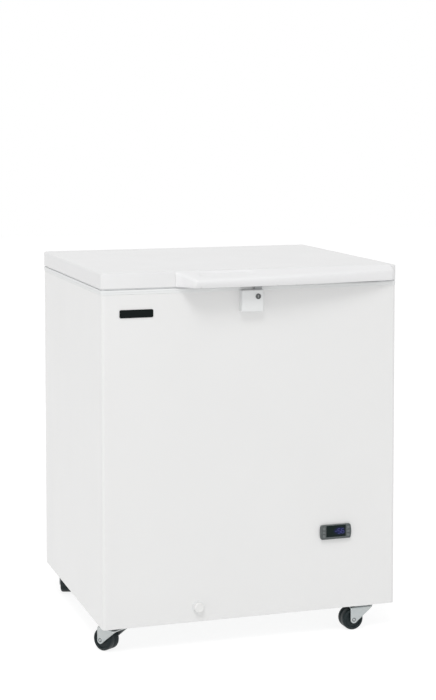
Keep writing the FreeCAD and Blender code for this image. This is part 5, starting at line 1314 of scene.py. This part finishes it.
@dataclass
class Studio:
    """Camera, floor, world and lamps."""

    location: Triple = (-1.252076, -3.932026, 1.243376)
    yaw: float = 0.31100
    pitch: float = -0.06103
    roll: float = -0.00036
    focal_pixels: float = 1674.0
    principal_height: float = 211.0
    frame_height: float = 700.0
    sensor: float = 36.0
    world_level: float = 0.64
    floor_half: float = 12.0
    floor_glow: float = 1.18
    floor_share: float = 0.72

    def camera(self) -> None:
        """Camera matched to the photograph's view."""
        data = bpy.data.cameras.new("camera")
        data.sensor_width = self.sensor
        data.sensor_fit = "AUTO"
        data.lens = self.focal_pixels / self.frame_height * self.sensor
        data.shift_y = (self.principal_height - self.frame_height / 2) / self.frame_height
        data.clip_end = 50.0
        made = bpy.data.objects.new("camera", data)
        bpy.context.scene.collection.objects.link(made)
        forward = Vector((math.sin(self.yaw) * math.cos(self.pitch),
                          math.cos(self.yaw) * math.cos(self.pitch), math.sin(self.pitch)))
        level = Vector((math.cos(self.yaw), -math.sin(self.yaw), 0.0))
        raised = level.cross(forward)
        right = level * math.cos(self.roll) + raised * math.sin(self.roll)
        up = raised * math.cos(self.roll) - level * math.sin(self.roll)
        turn = Matrix((right, up, -forward)).transposed()
        made.matrix_world = Matrix.Translation(self.location) @ turn.to_4x4()
        bpy.context.scene.camera = made

    def lamp(self, name: str, place: Triple, target: Triple, size: Pair, power: float) -> None:
        """One soft white rectangular lamp aimed at a point.

        Args:
            name: the lamp's name.
            place: where it hangs.
            target: what it faces.
            size: its width and height.
            power: its watts.
        """
        data = bpy.data.lights.new(name, "AREA")
        data.shape = "RECTANGLE"
        data.size, data.size_y = size
        data.energy = power
        made = bpy.data.objects.new(name, data)
        made.location = place
        made.rotation_euler = (Vector(target) - Vector(place)).to_track_quat("-Z", "Y").to_euler()
        bpy.context.scene.collection.objects.link(made)

    def seen(self, tree: Tree) -> Sock:
        """Which rays show the surroundings: camera, mirror and clear rays.

        Args:
            tree: the nodes of the world or the floor.

        Returns:
            1 for those rays, 0 for the others.
        """
        rays = [tree.node("ShaderNodeLightPath", {}, {}, "Is %s Ray" % kind)
                for kind in ("Camera", "Glossy", "Transmission")]
        return rays[0].math("MAXIMUM", rays[1]).math("MAXIMUM", rays[2])

    def world(self) -> None:
        """White to the camera and to mirrors, softer as a light."""
        world = bpy.data.worlds.new("studio")
        bpy.context.scene.world = world
        tree = Tree(world)
        level = self.seen(tree) * (1.0 - self.world_level) + self.world_level
        light = tree.node("ShaderNodeBackground", {}, {"Color": (1.0, 1.0, 1.0, 1.0), "Strength": level})
        tree.close(light, "ShaderNodeOutputWorld")

    def floor(self) -> None:
        """Pale floor that shows white with a faint shadow."""
        half = self.floor_half
        mesh = bpy.data.meshes.new("floor")
        corners = [(-half, -half, 0.0), (half, -half, 0.0), (half, half, 0.0), (-half, half, 0.0)]
        mesh.from_pydata(corners, [], [(0, 1, 2, 3)])
        made = bpy.data.objects.new("floor", mesh)
        bpy.context.scene.collection.objects.link(made)
        tree = Tree(bpy.data.materials.new("floor"))
        diffuse = tree.node("ShaderNodeBsdfDiffuse", {}, {"Color": (0.92, 0.92, 0.92, 1.0)})
        values = {"Color": (1.0, 1.0, 1.0, 1.0), "Strength": self.floor_glow}
        glow = tree.node("ShaderNodeEmission", {}, values)
        values = {0: self.seen(tree) * self.floor_share, 1: diffuse, 2: glow}
        tree.close(tree.node("ShaderNodeMixShader", {}, values))
        mesh.materials.append(tree.owner)

    def build(self) -> None:
        """Sets up the whole studio."""
        bpy.context.scene.view_settings.view_transform = "Standard"
        self.camera()
        self.world()
        self.floor()
        self.lamp("key", (-3.0, -6.0, 10.5), (0.0, 0.0, 0.45), (4.0, 4.0), 458.0)
        self.lamp("front", (-0.5, -8.0, 0.9), (0.0, 0.0, 0.0), (4.0, 3.0), 68.0)
        self.lamp("left", (-8.0, -1.0, 1.8), (0.0, 0.0, 0.45), (3.0, 3.0), 50.0)


def dress_frame(frame: dict, palette: Palette) -> None:
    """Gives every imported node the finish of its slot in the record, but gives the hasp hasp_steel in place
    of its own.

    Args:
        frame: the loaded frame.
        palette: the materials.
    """
    slots = {s["node"]: s["material_slot"] for s in frame["record"]["subparts"]}
    slots["lock_hasp"] = "hasp_steel"
    for name, obj in frame["nodes"].items():
        palette.dress(obj, slots[name])
        log.info("node %s wears %s", name, slots[name])


def main() -> None:
    """Loads the frame, dresses it and builds every new piece in order."""
    logging.basicConfig(level=logging.INFO, format="%(name)s: %(message)s")
    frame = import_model()
    joints = {j["name"]: j for j in frame["joints"]}
    palette = Palette()
    maker = Maker(palette, {m["slot"] for m in frame["record"]["materials"]})
    Studio().build()
    dress_frame(frame, palette)
    Cabinet(maker).build()
    Lid(maker).build()
    Handle(maker).build()
    Lock(maker).build()
    Castors(maker).build(joints)
    Controller(maker).build()
    Drain(maker).build()
    log.info("%d new pieces", maker.count)


if __name__ == "__main__":
    main()
